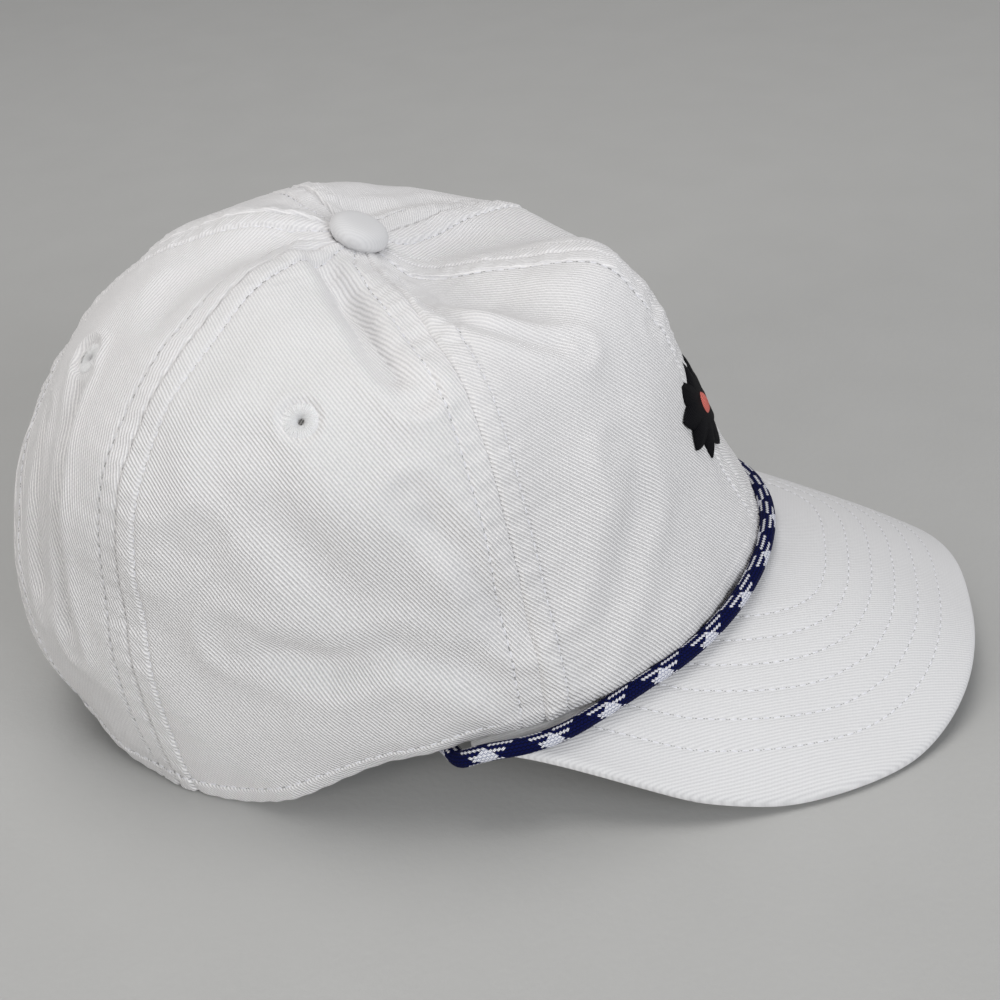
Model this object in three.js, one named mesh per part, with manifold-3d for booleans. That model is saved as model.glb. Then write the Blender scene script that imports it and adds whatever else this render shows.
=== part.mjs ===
// A six-panel cap with a rope round its peak and a strap across its back opening, standing on a table.
// Millimetres, +Z up. The peak points to -Y and the wearer's left is +X.
// The crown is one smooth surface, worked out from a table of sections; each panel is a patch of it.
import * as THREE from "three";
import { mergeVertices } from "three/addons/utils/BufferGeometryUtils.js";
import Module from "manifold-3d";

// Crown
const crownHeight = 127.5;      // table to the point under the button
const crownHalfWidth = 81;      // button axis to the hem at the side
const crownFront = 107;         // button axis to the hem at the front
const crownBack = 99;           // button axis to the hem at the back
const cloth = 1.5;              // wall of a panel with its fused backing
const gap = 0.3;                // clearance between neighbouring pieces
const liningGap = 0.9;          // clearance between the panels and what is sewn inside them
const tipRadius = 6;            // the panels' tips end this far from the button axis
const settle = 1.2;             // how far the lowest cloth is pressed flat by the table
const settleBlend = 1;          // height over which the flattened cloth runs out

// Seams, in degrees from the front; lean is how far the foot of the seam lies from its top
const sideSeamAngle = 61.5;
const sideSeamLean = -5.2;
const rearSeamAngle = 126;
const rearSeamLean = 0.3;

// Opening at the back and the strap across it
const archHalfWidth = 45;       // along the hem
const archHeight = 80;          // up the back seam from the hem
const strapWidth = 20;
const strapThickness = 1.6;
const strapRise = 2.5;          // hem to the lower edge of the strap
const strapLap = 12;            // how far each end runs in behind the panels
const studRadius = 2.2;
const studHeight = 1.4;
const studPitch = 9.5;

// Sweatband inside the hem
const bandWidth = 28;
const bandThickness = 1.2;
const bandRise = 1.5;           // hem to the lower edge of the band

// Peak
const peakTipReach = 164;       // button axis to the tip of the peak
const peakCornerReach = 22;     // button axis to the line between the peak's corners
const peakOverhang = 3.8;       // how far the peak's sides stand outside the crown's half width
const peakCornerAngle = 68.5;    // where the corners meet the hem, in degrees from the front
const peakThickness = 3;
const peakCrown = 2.8;          // rise of the peak's middle over the straight line from hem to edge
const peakTipHeight = 11.5;     // table to the underside of the tip
const peakCornerWidth = 3.4;    // what is left of the peak at its corners
const peakLengthPower = 0.64;   // fullness of the outline along the length
const peakWidthPower = 0.79;    // fullness of the outline across the width

// Rope
const ropeRadius = 2.25;
const ropeGap = 0.6;            // clearance to the wall and the peak
const ropeStray = 3.3;          // how far the rope leaves the wall before the peak's corners
const ropeStrayAngle = 39;      // where it starts to leave, in degrees from the front
const ropeFarAngle = 61;        // where it is farthest from the wall
const ropeReturn = 0.3;         // share of ropeStray that it has come back at the peak's corners
const ropeOverrun = 4.8;        // degrees that each end runs past the peak's corner
const ropeTuck = 3.5;           // how far each end runs in under the hem
const ropeDrop = 0.3;           // clearance added where the ends pass under the hem
const ropeSteps = 72;
const ropeSides = 8;

// Button
const buttonRadius = 8;
const buttonHeight = 4.6;

// Eyelets
const eyeletRadius = 4.6;
const eyeletHole = 1.1;
const eyeletShare = 0.515;      // how far up the section they sit
const eyeletRise = 0.5;
const eyeletSides = 16;

// Stitched emblem on the front
const emblemShare = 0.35;       // how far up the section its middle sits
const emblemHalfWidth = 18;
const emblemHalfHeight = 14.5;
const emblemRays = 10;
const rayLength = 4.5;          // from the solid disc to the rays' points
const emblemThickness = 1;
const emblemGap = 0.5;          // clearance under it, over the rounded front
const dotRadius = 3.2;

// Folds
const foldDepth = 2.6;
const foldWidth = 9;

// Sections of the crown from the front round to the back, a row every 30 degrees, the same on both sides.
// Each column is one control point of the section, from the hem to the top. reach is a share of the plan
// radius there and rise a share of crownHeight. All sections end at the button axis.
const sections = [
  { rim: [0.965, 0.335], low: [0.926, 0.371], mid: [0.771, 0.691], upper: [0.649, 1.101], near: [0.193, 0.924] },
  { rim: [0.995, 0.250], low: [1.010, 0.335], mid: [0.799, 0.659], upper: [0.653, 0.914], near: [0.260, 0.899] },
  { rim: [1.025, 0.215], low: [1.110, 0.310], mid: [0.962, 0.743], upper: [0.762, 0.948], near: [0.385, 0.966] },
  { rim: [0.975, 0.128], low: [1.073, 0.257], mid: [1.034, 0.798], upper: [0.724, 0.952], near: [0.428, 1.012] },
  { rim: [1.005, -0.058], low: [1.076, 0.221], mid: [1.066, 0.804], upper: [0.662, 0.957], near: [0.360, 1.083] },
  { rim: [1.010, 0.075], low: [1.165, 0.275], mid: [1.035, 0.764], upper: [0.599, 0.988], near: [0.190, 1.050] },
  { rim: [0.985, 0.090], low: [1.060, 0.270], mid: [0.985, 0.638], upper: [0.596, 1.047], near: [0.130, 1.105] },
];
const columns = ["rim", "low", "mid", "upper", "near"];

// Underside of the peak's edge above the table, from the tip to the side, as shares of peakTipHeight.
const peakEdgeHeights = [1, 0.45, -0.26, -0.02, 1.65];

// Folds of the crown: each runs from one point to another, given as degrees from the front (the wearer's
// right is negative) and share of the section. deep and wide are shares of foldDepth and foldWidth;
// a negative deep is a ridge.
const folds = [
  { from: [-106, 0.89], to: [-82, 0.81], deep: 0.7, wide: 1.0 },
  { from: [-82, 0.81], to: [-70, 0.68], deep: 1.0, wide: 1.0 },
  { from: [-62, 0.79], to: [-42, 0.675], deep: -0.6, wide: 0.9 },
  { from: [-42, 0.675], to: [-29, 0.55], deep: -0.6, wide: 0.9 },
  { from: [-38, 0.82], to: [-27, 0.65], deep: 0.8, wide: 1.3 },
  { from: [-94, 0.263], to: [-60, 0.258], deep: 0.7, wide: 1.2 },
  { from: [-105, 0.395], to: [-80, 0.325], deep: 0.5, wide: 1.1 },
  { from: [-148, 0.43], to: [-146, 0.28], deep: 0.9, wide: 0.9 },
  { from: [-147, 0.82], to: [-148, 0.64], deep: 0.7, wide: 0.9 },
  { from: [38, 0.82], to: [27, 0.65], deep: 0.7, wide: 1.3 },
  { from: [106, 0.88], to: [72, 0.70], deep: 0.8, wide: 1.1 },
  { from: [60, 0.27], to: [98, 0.26], deep: 0.6, wide: 1.2 },
  { from: [147, 0.43], to: [143, 0.28], deep: 0.7, wide: 1.0 },
];

// Mesh counts
const panelColumns = 12;
const panelRows = 20;
const peakColumns = 36;
const peakRows = 6;

const { degToRad, radToDeg, lerp, smoothstep, clamp } = THREE.MathUtils;
const up = new THREE.Vector3(0, 0, 1);

const twill = new THREE.MeshStandardMaterial({ color: 0xe6e5e8, roughness: 0.9, metalness: 0 });
const thread = new THREE.MeshStandardMaterial({ color: 0xdedde0, roughness: 0.8, metalness: 0 });
const ribbon = new THREE.MeshStandardMaterial({ color: 0xd8d8dc, roughness: 0.85, metalness: 0 });
const braid = new THREE.MeshStandardMaterial({ color: 0x1b2350, roughness: 0.6, metalness: 0 });
const plastic = new THREE.MeshStandardMaterial({ color: 0xe8e8ea, roughness: 0.45, metalness: 0 });
const blackThread = new THREE.MeshStandardMaterial({ color: 0x0b0b0d, roughness: 0.6, metalness: 0 });
const coralThread = new THREE.MeshStandardMaterial({ color: 0xe07a70, roughness: 0.6, metalness: 0 });

// Weights of the four control points around a place f along one span of a uniform cubic B-spline.
function splineWeights(f) {
  return [
    (1 - f) ** 3 / 6,
    (3 * f ** 3 - 6 * f ** 2 + 4) / 6,
    (-3 * f ** 3 + 3 * f ** 2 + 3 * f + 1) / 6,
    f ** 3 / 6,
  ];
}

// Height of something that the table stops: 0 once it would lie below, run out smoothly above.
function restOnTable(z) {
  if (z >= settleBlend) return z;
  return z <= -settleBlend ? 0 : (z + settleBlend) ** 2 / (4 * settleBlend);
}

// Radius of the crown's plan at an angle from the front.
function planRadius(angle) {
  const depth = Math.cos(angle) > 0 ? crownFront : crownBack;
  return 1 / Math.hypot(Math.sin(angle) / crownHalfWidth, Math.cos(angle) / depth);
}

// The section row at an index that may run past the back or below the front.
function sectionRow(index) {
  const last = sections.length - 1;
  const turn = THREE.MathUtils.euclideanModulo(index, 2 * last);
  return sections[turn <= last ? turn : 2 * last - turn];
}

// Control points of the section at an angle in degrees, from hem to top, as [reach, rise].
function sectionControls(degrees) {
  const place = (Math.abs(degrees) / 180) * (sections.length - 1);
  const first = Math.floor(place);
  const weights = splineWeights(place - first);
  const controls = columns.map((column) =>
    [0, 1].map((axis) => weights.reduce((sum, w, k) => sum + w * sectionRow(first + k - 1)[column][axis], 0))
  );
  controls.push([0, 1]);
  return controls;
}

// A point of the crown's smooth outer surface: degrees from the front, share of the section from hem to top.
function crownPoint(degrees, share) {
  const controls = sectionControls(degrees);
  const spans = controls.length - 1;
  const place = clamp(share, 0, 1) * spans;
  const first = Math.min(Math.floor(place), spans - 1);
  const weights = splineWeights(place - first);
  const ghost = (end, next) => [2 * end[0] - next[0], 2 * end[1] - next[1]];
  const run = [
    ghost(controls[0], controls[1]),
    ...controls,
    ghost(controls[spans], controls[spans - 1]),
  ];
  const angle = degToRad(degrees);
  const reach = weights.reduce((sum, w, k) => sum + w * run[first + k][0], 0) * planRadius(angle);
  const rise = weights.reduce((sum, w, k) => sum + w * run[first + k][1], 0) * crownHeight;
  return new THREE.Vector3(reach * Math.sin(angle), -reach * Math.cos(angle), restOnTable(rise - settle));
}

// Outward normal of the smooth crown.
function crownNormal(degrees, share) {
  const step = 0.01;
  const low = clamp(share - step, 0, 1 - 2 * step);
  const along = crownPoint(degrees, low + 2 * step).sub(crownPoint(degrees, low));
  const round = crownPoint(degrees + 1, share).sub(crownPoint(degrees - 1, share));
  return round.cross(along).normalize();
}

const foldPaths = folds.map((fold) => {
  const path = [];
  for (let k = 0; k <= 6; k++) {
    path.push(crownPoint(lerp(fold.from[0], fold.to[0], k / 6), lerp(fold.from[1], fold.to[1], k / 6)));
  }
  return path;
});

// How far the folds push the crown in at a point of its smooth surface.
function foldAt(point) {
  const nearest = new THREE.Vector3();
  let depth = 0;
  folds.forEach((fold, f) => {
    const path = foldPaths[f];
    let distance = Infinity;
    for (let k = 1; k < path.length; k++) {
      new THREE.Line3(path[k - 1], path[k]).closestPointToPoint(point, true, nearest);
      distance = Math.min(distance, nearest.distanceTo(point));
    }
    depth += fold.deep * Math.exp(-((distance / (fold.wide * foldWidth)) ** 2));
  });
  return depth * foldDepth;
}

// A point at a depth below the folded outer surface of the crown.
function wallPoint(degrees, share, depth = 0) {
  const point = crownPoint(degrees, share);
  return point.clone().addScaledVector(crownNormal(degrees, share), -foldAt(point) - depth);
}

// The share of a section at which its arc from the hem has a length.
function shareAtHeight(degrees, height) {
  const steps = 200;
  let arc = 0;
  let last = crownPoint(degrees, 0);
  for (let k = 1; k <= steps; k++) {
    const next = crownPoint(degrees, k / steps);
    const piece = next.distanceTo(last);
    if (arc + piece >= height) return (k - 1 + (height - arc) / piece) / steps;
    arc += piece;
    last = next;
  }
  return 1;
}

// The share of a section at which it comes within a radius of the button axis.
function shareAtRadius(degrees, radius) {
  let low = 0.7;
  let high = 1;
  for (let k = 0; k < 40; k++) {
    const middle = (low + high) / 2;
    const point = crownPoint(degrees, middle);
    if (Math.hypot(point.x, point.y) > radius) low = middle;
    else high = middle;
  }
  return low;
}

// Geometry from points and triangles, turned so that its faces point out.
function closedGeometry(points, faces) {
  let volume = 0;
  for (const [a, b, c] of faces) {
    volume += points[a].dot(new THREE.Vector3().crossVectors(points[b], points[c]));
  }
  const index = faces.flatMap(([a, b, c]) => (volume < 0 ? [a, c, b] : [a, b, c]));
  const geometry = new THREE.BufferGeometry().setFromPoints(points);
  geometry.setIndex(index);
  return geometry;
}

// A closed slab between two grids of points of the same counts.
function slab(outer, inner) {
  const rows = outer.length;
  const across = outer[0].length;
  const points = [...outer.flat(), ...inner.flat()];
  const faces = [];
  const top = (i, j) => i * across + j;
  const under = (i, j) => rows * across + top(i, j);
  const quad = (a, b, c, d) => faces.push([a, b, c], [a, c, d]);
  for (let i = 0; i < rows - 1; i++) {
    for (let j = 0; j < across - 1; j++) {
      quad(top(i, j), top(i, j + 1), top(i + 1, j + 1), top(i + 1, j));
      quad(under(i, j), under(i + 1, j), under(i + 1, j + 1), under(i, j + 1));
    }
  }
  for (let i = 0; i < rows - 1; i++) {
    quad(top(i, 0), top(i + 1, 0), under(i + 1, 0), under(i, 0));
    quad(top(i + 1, across - 1), top(i, across - 1), under(i, across - 1), under(i + 1, across - 1));
  }
  for (let j = 0; j < across - 1; j++) {
    quad(top(0, j + 1), top(0, j), under(0, j), under(0, j + 1));
    quad(top(rows - 1, j), top(rows - 1, j + 1), under(rows - 1, j + 1), under(rows - 1, j));
  }
  return closedGeometry(points, faces);
}

const wasm = await Module();
wasm.setup();

// A solid for cutting, from a closed geometry.
function solidOf(geometry) {
  const bare = geometry.clone();
  bare.deleteAttribute("normal");
  bare.deleteAttribute("uv");
  const merged = mergeVertices(bare, 1e-4);
  return new wasm.Manifold(new wasm.Mesh({
    numProp: 3,
    vertProperties: new Float32Array(merged.attributes.position.array),
    triVerts: new Uint32Array(merged.index.array),
  }));
}

// The geometry of a solid after cutting.
function geometryOf(solid) {
  const mesh = solid.getMesh();
  const geometry = new THREE.BufferGeometry();
  geometry.setAttribute("position", new THREE.BufferAttribute(new Float32Array(mesh.vertProperties), 3));
  geometry.setIndex(new THREE.BufferAttribute(new Uint32Array(mesh.triVerts), 1));
  return geometry;
}

// A geometry that stands on +Z, moved so that it stands on a point along a direction.
function standOn(geometry, point, direction) {
  const turn = new THREE.Quaternion().setFromUnitVectors(up, direction);
  return geometry.clone().applyQuaternion(turn).translate(point.x, point.y, point.z);
}

const cap = new THREE.Group();
function addPiece(name, geometry, material) {
  geometry.computeVertexNormals();
  const mesh = new THREE.Mesh(geometry, material);
  mesh.name = name;
  cap.add(mesh);
  return mesh;
}

// Panels
const seams = [
  { angle: 0, lean: 0 },
  { angle: sideSeamAngle, lean: sideSeamLean },
  { angle: rearSeamAngle, lean: rearSeamLean },
  { angle: 180, lean: 0 },
];
const panels = [
  { name: "panel_front", first: 0, eyelet: null },
  { name: "panel_side", first: 1, eyelet: "eyelet_side" },
  { name: "panel_back", first: 2, eyelet: "eyelet_back" },
];
const sides = [
  { name: "right", sign: -1 },
  { name: "left", sign: 1 },
];

const hemRadiusBack = crownPoint(180, 0).y;
const archAngle = radToDeg(archHalfWidth / hemRadiusBack);
const archShare = shareAtHeight(180, archHeight);

function seamAngle(seam, share) {
  return seam.angle + seam.lean * (1 - share);
}

// Foot of a panel's column as [degrees, share]: along the hem, and up the arch on the back panel.
function columnFoot(first, place) {
  const near = seamAngle(seams[first], 0);
  const far = seamAngle(seams[first + 1], 0);
  if (first < 2) return [lerp(near, far, place), 0];
  const hemPart = 1 / 3;
  const archFoot = 180 - archAngle;
  if (place <= hemPart) return [lerp(near, archFoot, place / hemPart), 0];
  const turn = ((1 - place) / (1 - hemPart)) * Math.PI / 2;
  return [180 - archAngle * Math.sin(turn), archShare * Math.cos(turn)];
}

// One column of a panel, from its foot to its tip, as [degrees, share] with the seam's clearance taken off.
function panelColumn(first, place) {
  const foot = columnFoot(first, place);
  const top = lerp(seams[first].angle, seams[first + 1].angle, place);
  const tip = shareAtRadius(top, tipRadius);
  const column = [];
  for (let i = 0; i <= panelRows; i++) {
    const share = lerp(foot[1], tip, i / panelRows);
    let degrees = lerp(foot[0], top, (share - foot[1]) / (1 - foot[1]));
    const point = crownPoint(degrees, share);
    const half = radToDeg(gap / 2 / Math.hypot(point.x, point.y));
    if (place === 0) degrees += half;
    if (place === 1) degrees -= half;
    column.push([degrees, share]);
  }
  return column;
}

function panelGeometry(first, sign) {
  const outer = [];
  const inner = [];
  for (let j = 0; j <= panelColumns; j++) {
    const column = panelColumn(first, j / panelColumns);
    outer.push(column.map(([degrees, share]) => wallPoint(sign * degrees, share)));
    inner.push(column.map(([degrees, share]) => wallPoint(sign * degrees, share, cloth)));
    if (column[0][1] > 0) continue;
    const foot = outer[j][0];
    const inward = new THREE.Vector3(-foot.x, -foot.y, 0).normalize();
    inner[j][0] = foot.clone().addScaledVector(inward, cloth);
  }
  return slab(outer, inner);
}

// A ring round a hole, standing on the middle of the wall.
function eyeletGeometry() {
  const half = cloth / 2;
  const profile = [
    [eyeletHole, -half], [eyeletRadius, -half], [eyeletRadius, half],
    [eyeletRadius * 0.75, half + eyeletRise], [eyeletHole * 1.5, half + eyeletRise], [eyeletHole, -half],
  ].map(([radius, height]) => new THREE.Vector2(radius, height));
  return new THREE.LatheGeometry(profile, eyeletSides).rotateX(Math.PI / 2);
}

for (const panel of panels) {
  for (const side of sides) {
    let geometry = panelGeometry(panel.first, side.sign);
    if (panel.eyelet) {
      const seamA = seamAngle(seams[panel.first], eyeletShare);
      const seamB = seamAngle(seams[panel.first + 1], eyeletShare);
      const degrees = side.sign * (seamA + seamB) / 2;
      const middle = wallPoint(degrees, eyeletShare, cloth / 2);
      const direction = crownNormal(degrees, eyeletShare);
      const hole = new THREE.CylinderGeometry(eyeletRadius + gap, eyeletRadius + gap, 6 * cloth, eyeletSides);
      const cutter = standOn(hole.rotateX(Math.PI / 2), middle, direction);
      geometry = geometryOf(solidOf(geometry).subtract(solidOf(cutter)));
      addPiece(panel.eyelet + "_" + side.name, standOn(eyeletGeometry(), middle, direction), thread);
    }
    addPiece(panel.name + "_" + side.name, geometry, twill);
  }
}

// A strip that follows the inside of the crown, between two angles and two heights above the hem.
function insideStrip(from, to, rise, width, thickness, steps, rows) {
  const outer = [];
  const inner = [];
  for (let j = 0; j <= steps; j++) {
    const degrees = lerp(from, to, j / steps);
    const shares = [];
    for (let i = 0; i <= rows; i++) shares.push(shareAtHeight(degrees, rise + width * i / rows));
    outer.push(shares.map((share) => wallPoint(degrees, share, cloth + liningGap)));
    inner.push(shares.map((share) => wallPoint(degrees, share, cloth + liningGap + thickness)));
  }
  return slab(outer, inner);
}

// Strap across the opening, with a row of studs; its ends run in behind the panels.
const strapAngle = archAngle + radToDeg(strapLap / hemRadiusBack);
const bandEnd = 180 - strapAngle - radToDeg(gap / hemRadiusBack);
const strapGeometry = insideStrip(180 - strapAngle, 180 + strapAngle, strapRise, strapWidth, strapThickness, 16, 2);
let strapSolid = solidOf(strapGeometry);
const studCount = 2 * Math.floor(archHalfWidth * 0.8 / studPitch) + 1;
for (let k = 0; k < studCount; k++) {
  const along = (k - (studCount - 1) / 2) * studPitch;
  const degrees = 180 + radToDeg(along / hemRadiusBack);
  const share = shareAtHeight(degrees, strapRise + strapWidth / 2);
  const base = wallPoint(degrees, share, cloth + liningGap + strapThickness / 2);
  const stud = new THREE.CylinderGeometry(studRadius, studRadius, 2 * studHeight + strapThickness, 8);
  stud.rotateX(Math.PI / 2);
  strapSolid = strapSolid.add(solidOf(standOn(stud, base, crownNormal(degrees, share))));
}
addPiece("back_strap", geometryOf(strapSolid), plastic);
addPiece("sweatband", insideStrip(-bandEnd, bandEnd, bandRise, bandWidth, bandThickness, 44, 2), ribbon);

// Peak. place runs from -1 at the right corner to 1 at the left one.
const peakHalfWidth = crownHalfWidth + peakOverhang;

function peakRoot(place) {
  const rim = crownPoint(place * peakCornerAngle, 0);
  const inward = new THREE.Vector3(-rim.x, -rim.y, 0).normalize();
  return rim.addScaledVector(inward, cloth).addScaledVector(up, -gap);
}

function peakEdge(place) {
  const turn = place * Math.PI / 2;
  const across = Math.sign(place) * Math.abs(Math.sin(turn)) ** peakWidthPower * peakHalfWidth;
  const ahead = Math.max(Math.cos(turn), 0) ** peakLengthPower * (peakTipReach - peakCornerReach);
  const heights = [peakEdgeHeights[1], ...peakEdgeHeights, 2 * peakEdgeHeights.at(-1) - peakEdgeHeights.at(-2)];
  const spot = Math.abs(place) * (peakEdgeHeights.length - 1);
  const first = Math.min(Math.floor(spot), peakEdgeHeights.length - 2);
  const share = splineWeights(spot - first).reduce((sum, w, k) => sum + w * heights[first + k], 0);
  const free = new THREE.Vector3(across, -peakCornerReach - ahead, restOnTable(share * peakTipHeight) + peakThickness);
  const root = peakRoot(place);
  const outward = new THREE.Vector3(root.x, root.y, 0).normalize();
  const corner = root.clone().addScaledVector(outward, cloth + peakCornerWidth);
  return free.lerp(corner, smoothstep(Math.abs(place), 0.8, 1));
}

function peakTop(place, share) {
  const point = peakRoot(place).lerp(peakEdge(place), share);
  const bulge = 4 * share * (1 - share) * Math.cos(place * Math.PI / 2);
  return point.addScaledVector(up, peakCrown * bulge);
}

const peakUpper = [];
const peakUnder = [];
for (let j = 0; j <= peakColumns; j++) {
  const place = -1 + 2 * j / peakColumns;
  const row = [];
  for (let i = 0; i <= peakRows; i++) row.push(peakTop(place, i / peakRows));
  peakUpper.push(row);
  peakUnder.push(row.map((point) => point.clone().addScaledVector(up, -peakThickness)));
}
addPiece("peak", slab(peakUpper, peakUnder), twill);

// Rope, in the crease between crown and peak, its ends rolled under the hem past the peak's corners.
const ropeReach = ropeRadius + ropeGap;
const creaseWidth = 6 * ropeRadius;
const creasePoints = [];
for (let j = 0; j <= 160; j++) {
  const place = -1 + j / 80;
  const whole = peakRoot(place).distanceTo(peakEdge(place));
  for (let i = 0; i <= 12; i++) creasePoints.push(peakTop(place, Math.min(1, creaseWidth / whole) * i / 12));
  if (whole > creaseWidth) continue;
  for (let i = 1; i <= 3; i++) creasePoints.push(peakEdge(place).addScaledVector(up, -peakThickness * i / 3));
}

function ropeCentre(degrees) {
  const turn = Math.abs(degrees);
  const past = (turn - peakCornerAngle) / ropeOverrun;
  const back = ropeReturn * smoothstep(turn, ropeFarAngle, peakCornerAngle);
  const stray = ropeStray * smoothstep(turn, ropeStrayAngle, ropeFarAngle) * (1 - back);
  const besideWall = (height) => {
    const share = shareAtHeight(degrees, height);
    return wallPoint(degrees, share).addScaledVector(crownNormal(degrees, share), ropeReach + stray);
  };
  const clearOfPeak = (point) => creasePoints.every((other) => other.distanceTo(point) >= ropeReach);
  let low = 0;
  let high = 4 * ropeRadius;
  for (let k = 0; k < 20; k++) {
    const middle = (low + high) / 2;
    if (clearOfPeak(besideWall(middle))) high = middle;
    else low = middle;
  }
  if (past <= 0) return besideWall(high);
  const roll = smoothstep(past, 0.3, 0.8) * Math.PI / 2;
  const foot = wallPoint(degrees, 0);
  const outward = new THREE.Vector3(foot.x, foot.y, 0).normalize();
  foot.addScaledVector(outward, (ropeReach + stray) * Math.cos(roll) - ropeTuck * smoothstep(past, 0.5, 1));
  foot.addScaledVector(up, -(ropeReach + ropeDrop) * Math.sin(roll));
  return besideWall(high).lerp(foot, smoothstep(past, 0, 0.5));
}

const ropeEnd = peakCornerAngle + ropeOverrun;
const ropePath = [];
for (let k = 0; k <= ropeSteps; k++) ropePath.push(ropeCentre(lerp(-ropeEnd, ropeEnd, k / ropeSteps)));
const ropeSection = new THREE.Shape();
ropeSection.absarc(0, 0, ropeRadius, 0, 2 * Math.PI);
const ropeGeometry = new THREE.ExtrudeGeometry(ropeSection, {
  curveSegments: ropeSides / 2,
  steps: ropeSteps,
  bevelEnabled: false,
  extrudePath: new THREE.CatmullRomCurve3(ropePath),
});
addPiece("rope", ropeGeometry, braid);

// Button, lying in the hollow of the top: its underside is on the plane of the crown round its edge.
const seatRing = [];
for (let k = 0; k < 24; k++) {
  const degrees = k * 15 - 180;
  seatRing.push(crownPoint(degrees, shareAtRadius(degrees, buttonRadius)));
}
const seatMiddle = seatRing.reduce((sum, point) => sum.add(point), new THREE.Vector3()).divideScalar(seatRing.length);
const seatNormal = new THREE.Vector3();
seatRing.forEach((point, k) => {
  const next = seatRing[(k + 1) % seatRing.length];
  seatNormal.add(point.clone().sub(seatMiddle).cross(next.clone().sub(seatMiddle)));
});
seatNormal.normalize();
const seatRise = Math.max(...seatRing.map((point) => point.clone().sub(seatMiddle).dot(seatNormal)));
const buttonProfile = [new THREE.Vector2(0, 0), new THREE.Vector2(buttonRadius * 0.9, 0)];
for (let k = 0; k <= 5; k++) {
  const turn = (k / 5) * Math.PI / 2;
  const height = buttonHeight * (0.25 + 0.75 * Math.sin(turn));
  buttonProfile.push(new THREE.Vector2(k === 5 ? 0 : buttonRadius * Math.cos(turn) ** 0.7, height));
}
const buttonShape = new THREE.LatheGeometry(buttonProfile, 20).rotateX(Math.PI / 2);
const buttonSeat = seatMiddle.clone().addScaledVector(seatNormal, seatRise + gap);
addPiece("button", standOn(buttonShape, buttonSeat, seatNormal), twill);

// Stitched emblem: a sun with short rays and a dot, laid on the front over the middle seam.
const emblemMiddle = crownPoint(0, emblemShare);
const shareStep = 0.02;
const shareLength = crownPoint(0, emblemShare + shareStep).distanceTo(emblemMiddle) / shareStep;

// A point over the front at a distance across and up from the emblem's middle.
function frontPoint(across, rise, height) {
  const degrees = radToDeg(across / Math.abs(emblemMiddle.y));
  return wallPoint(degrees, emblemShare + rise / shareLength, -height);
}

// A closed pad over the front whose outline is a list of [across, rise] round its middle.
function frontPad(outline, rings, base, thickness) {
  const count = outline.length;
  const points = [];
  for (const height of [base, base + thickness]) {
    points.push(frontPoint(0, 0, height));
    for (let r = 1; r <= rings; r++) {
      for (const [across, rise] of outline) points.push(frontPoint(across * r / rings, rise * r / rings, height));
    }
  }
  const layer = 1 + rings * count;
  const at = (level, r, k) => level * layer + (r === 0 ? 0 : 1 + (r - 1) * count + (k % count));
  const faces = [];
  for (let k = 0; k < count; k++) {
    faces.push([at(1, 0, 0), at(1, 1, k), at(1, 1, k + 1)], [at(0, 0, 0), at(0, 1, k + 1), at(0, 1, k)]);
    for (let r = 1; r < rings; r++) {
      faces.push([at(1, r, k), at(1, r + 1, k), at(1, r + 1, k + 1)]);
      faces.push([at(1, r, k), at(1, r + 1, k + 1), at(1, r, k + 1)]);
      faces.push([at(0, r, k), at(0, r + 1, k + 1), at(0, r + 1, k)]);
      faces.push([at(0, r, k), at(0, r, k + 1), at(0, r + 1, k + 1)]);
    }
    faces.push([at(0, rings, k), at(0, rings, k + 1), at(1, rings, k + 1)]);
    faces.push([at(0, rings, k), at(1, rings, k + 1), at(1, rings, k)]);
  }
  return closedGeometry(points, faces);
}

const sunOutline = [];
for (let k = 0; k < 2 * emblemRays; k++) {
  const turn = (k / emblemRays + 0.5) * Math.PI;
  const inset = k % 2 ? rayLength : 0;
  sunOutline.push([(emblemHalfWidth - inset) * Math.cos(turn), (emblemHalfHeight - inset) * Math.sin(turn)]);
}
const dotOutline = [];
for (let k = 0; k < 12; k++) {
  const turn = k * Math.PI / 6;
  dotOutline.push([dotRadius * Math.cos(turn), dotRadius * Math.sin(turn)]);
}
addPiece("emblem_sun", frontPad(sunOutline, 4, emblemGap, emblemThickness), blackThread);
addPiece("emblem_dot", frontPad(dotOutline, 1, emblemGap + emblemThickness + gap, emblemThickness / 2), coralThread);

// The part's own frame: the origin is on the table under the middle of the whole cap.
const box = new THREE.Box3().setFromObject(cap);
const middle = box.getCenter(new THREE.Vector3());
cap.position.set(-middle.x, -middle.y, -box.min.z);
cap.updateMatrixWorld(true);

export default cap;
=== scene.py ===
import math

import bpy
import numpy as np
from mathutils import Matrix, Vector, noise
from mathutils.bvhtree import BVHTree


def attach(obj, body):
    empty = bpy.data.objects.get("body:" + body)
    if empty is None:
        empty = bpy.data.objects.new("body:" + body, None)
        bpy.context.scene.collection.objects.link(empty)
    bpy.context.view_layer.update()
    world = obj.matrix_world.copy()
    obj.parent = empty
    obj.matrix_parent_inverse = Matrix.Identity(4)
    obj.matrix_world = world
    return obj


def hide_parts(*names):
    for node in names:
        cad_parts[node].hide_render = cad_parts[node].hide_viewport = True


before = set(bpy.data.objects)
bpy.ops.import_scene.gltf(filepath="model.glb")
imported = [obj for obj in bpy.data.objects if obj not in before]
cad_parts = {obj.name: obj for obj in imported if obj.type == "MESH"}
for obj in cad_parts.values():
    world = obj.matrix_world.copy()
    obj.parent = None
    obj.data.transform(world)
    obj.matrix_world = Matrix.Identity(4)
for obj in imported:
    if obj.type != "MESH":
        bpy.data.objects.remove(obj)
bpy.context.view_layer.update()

ORIGIN = np.array([0.0, 30.7996, 0.0])     # from the button axis to the part's own origin, in mm

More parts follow.
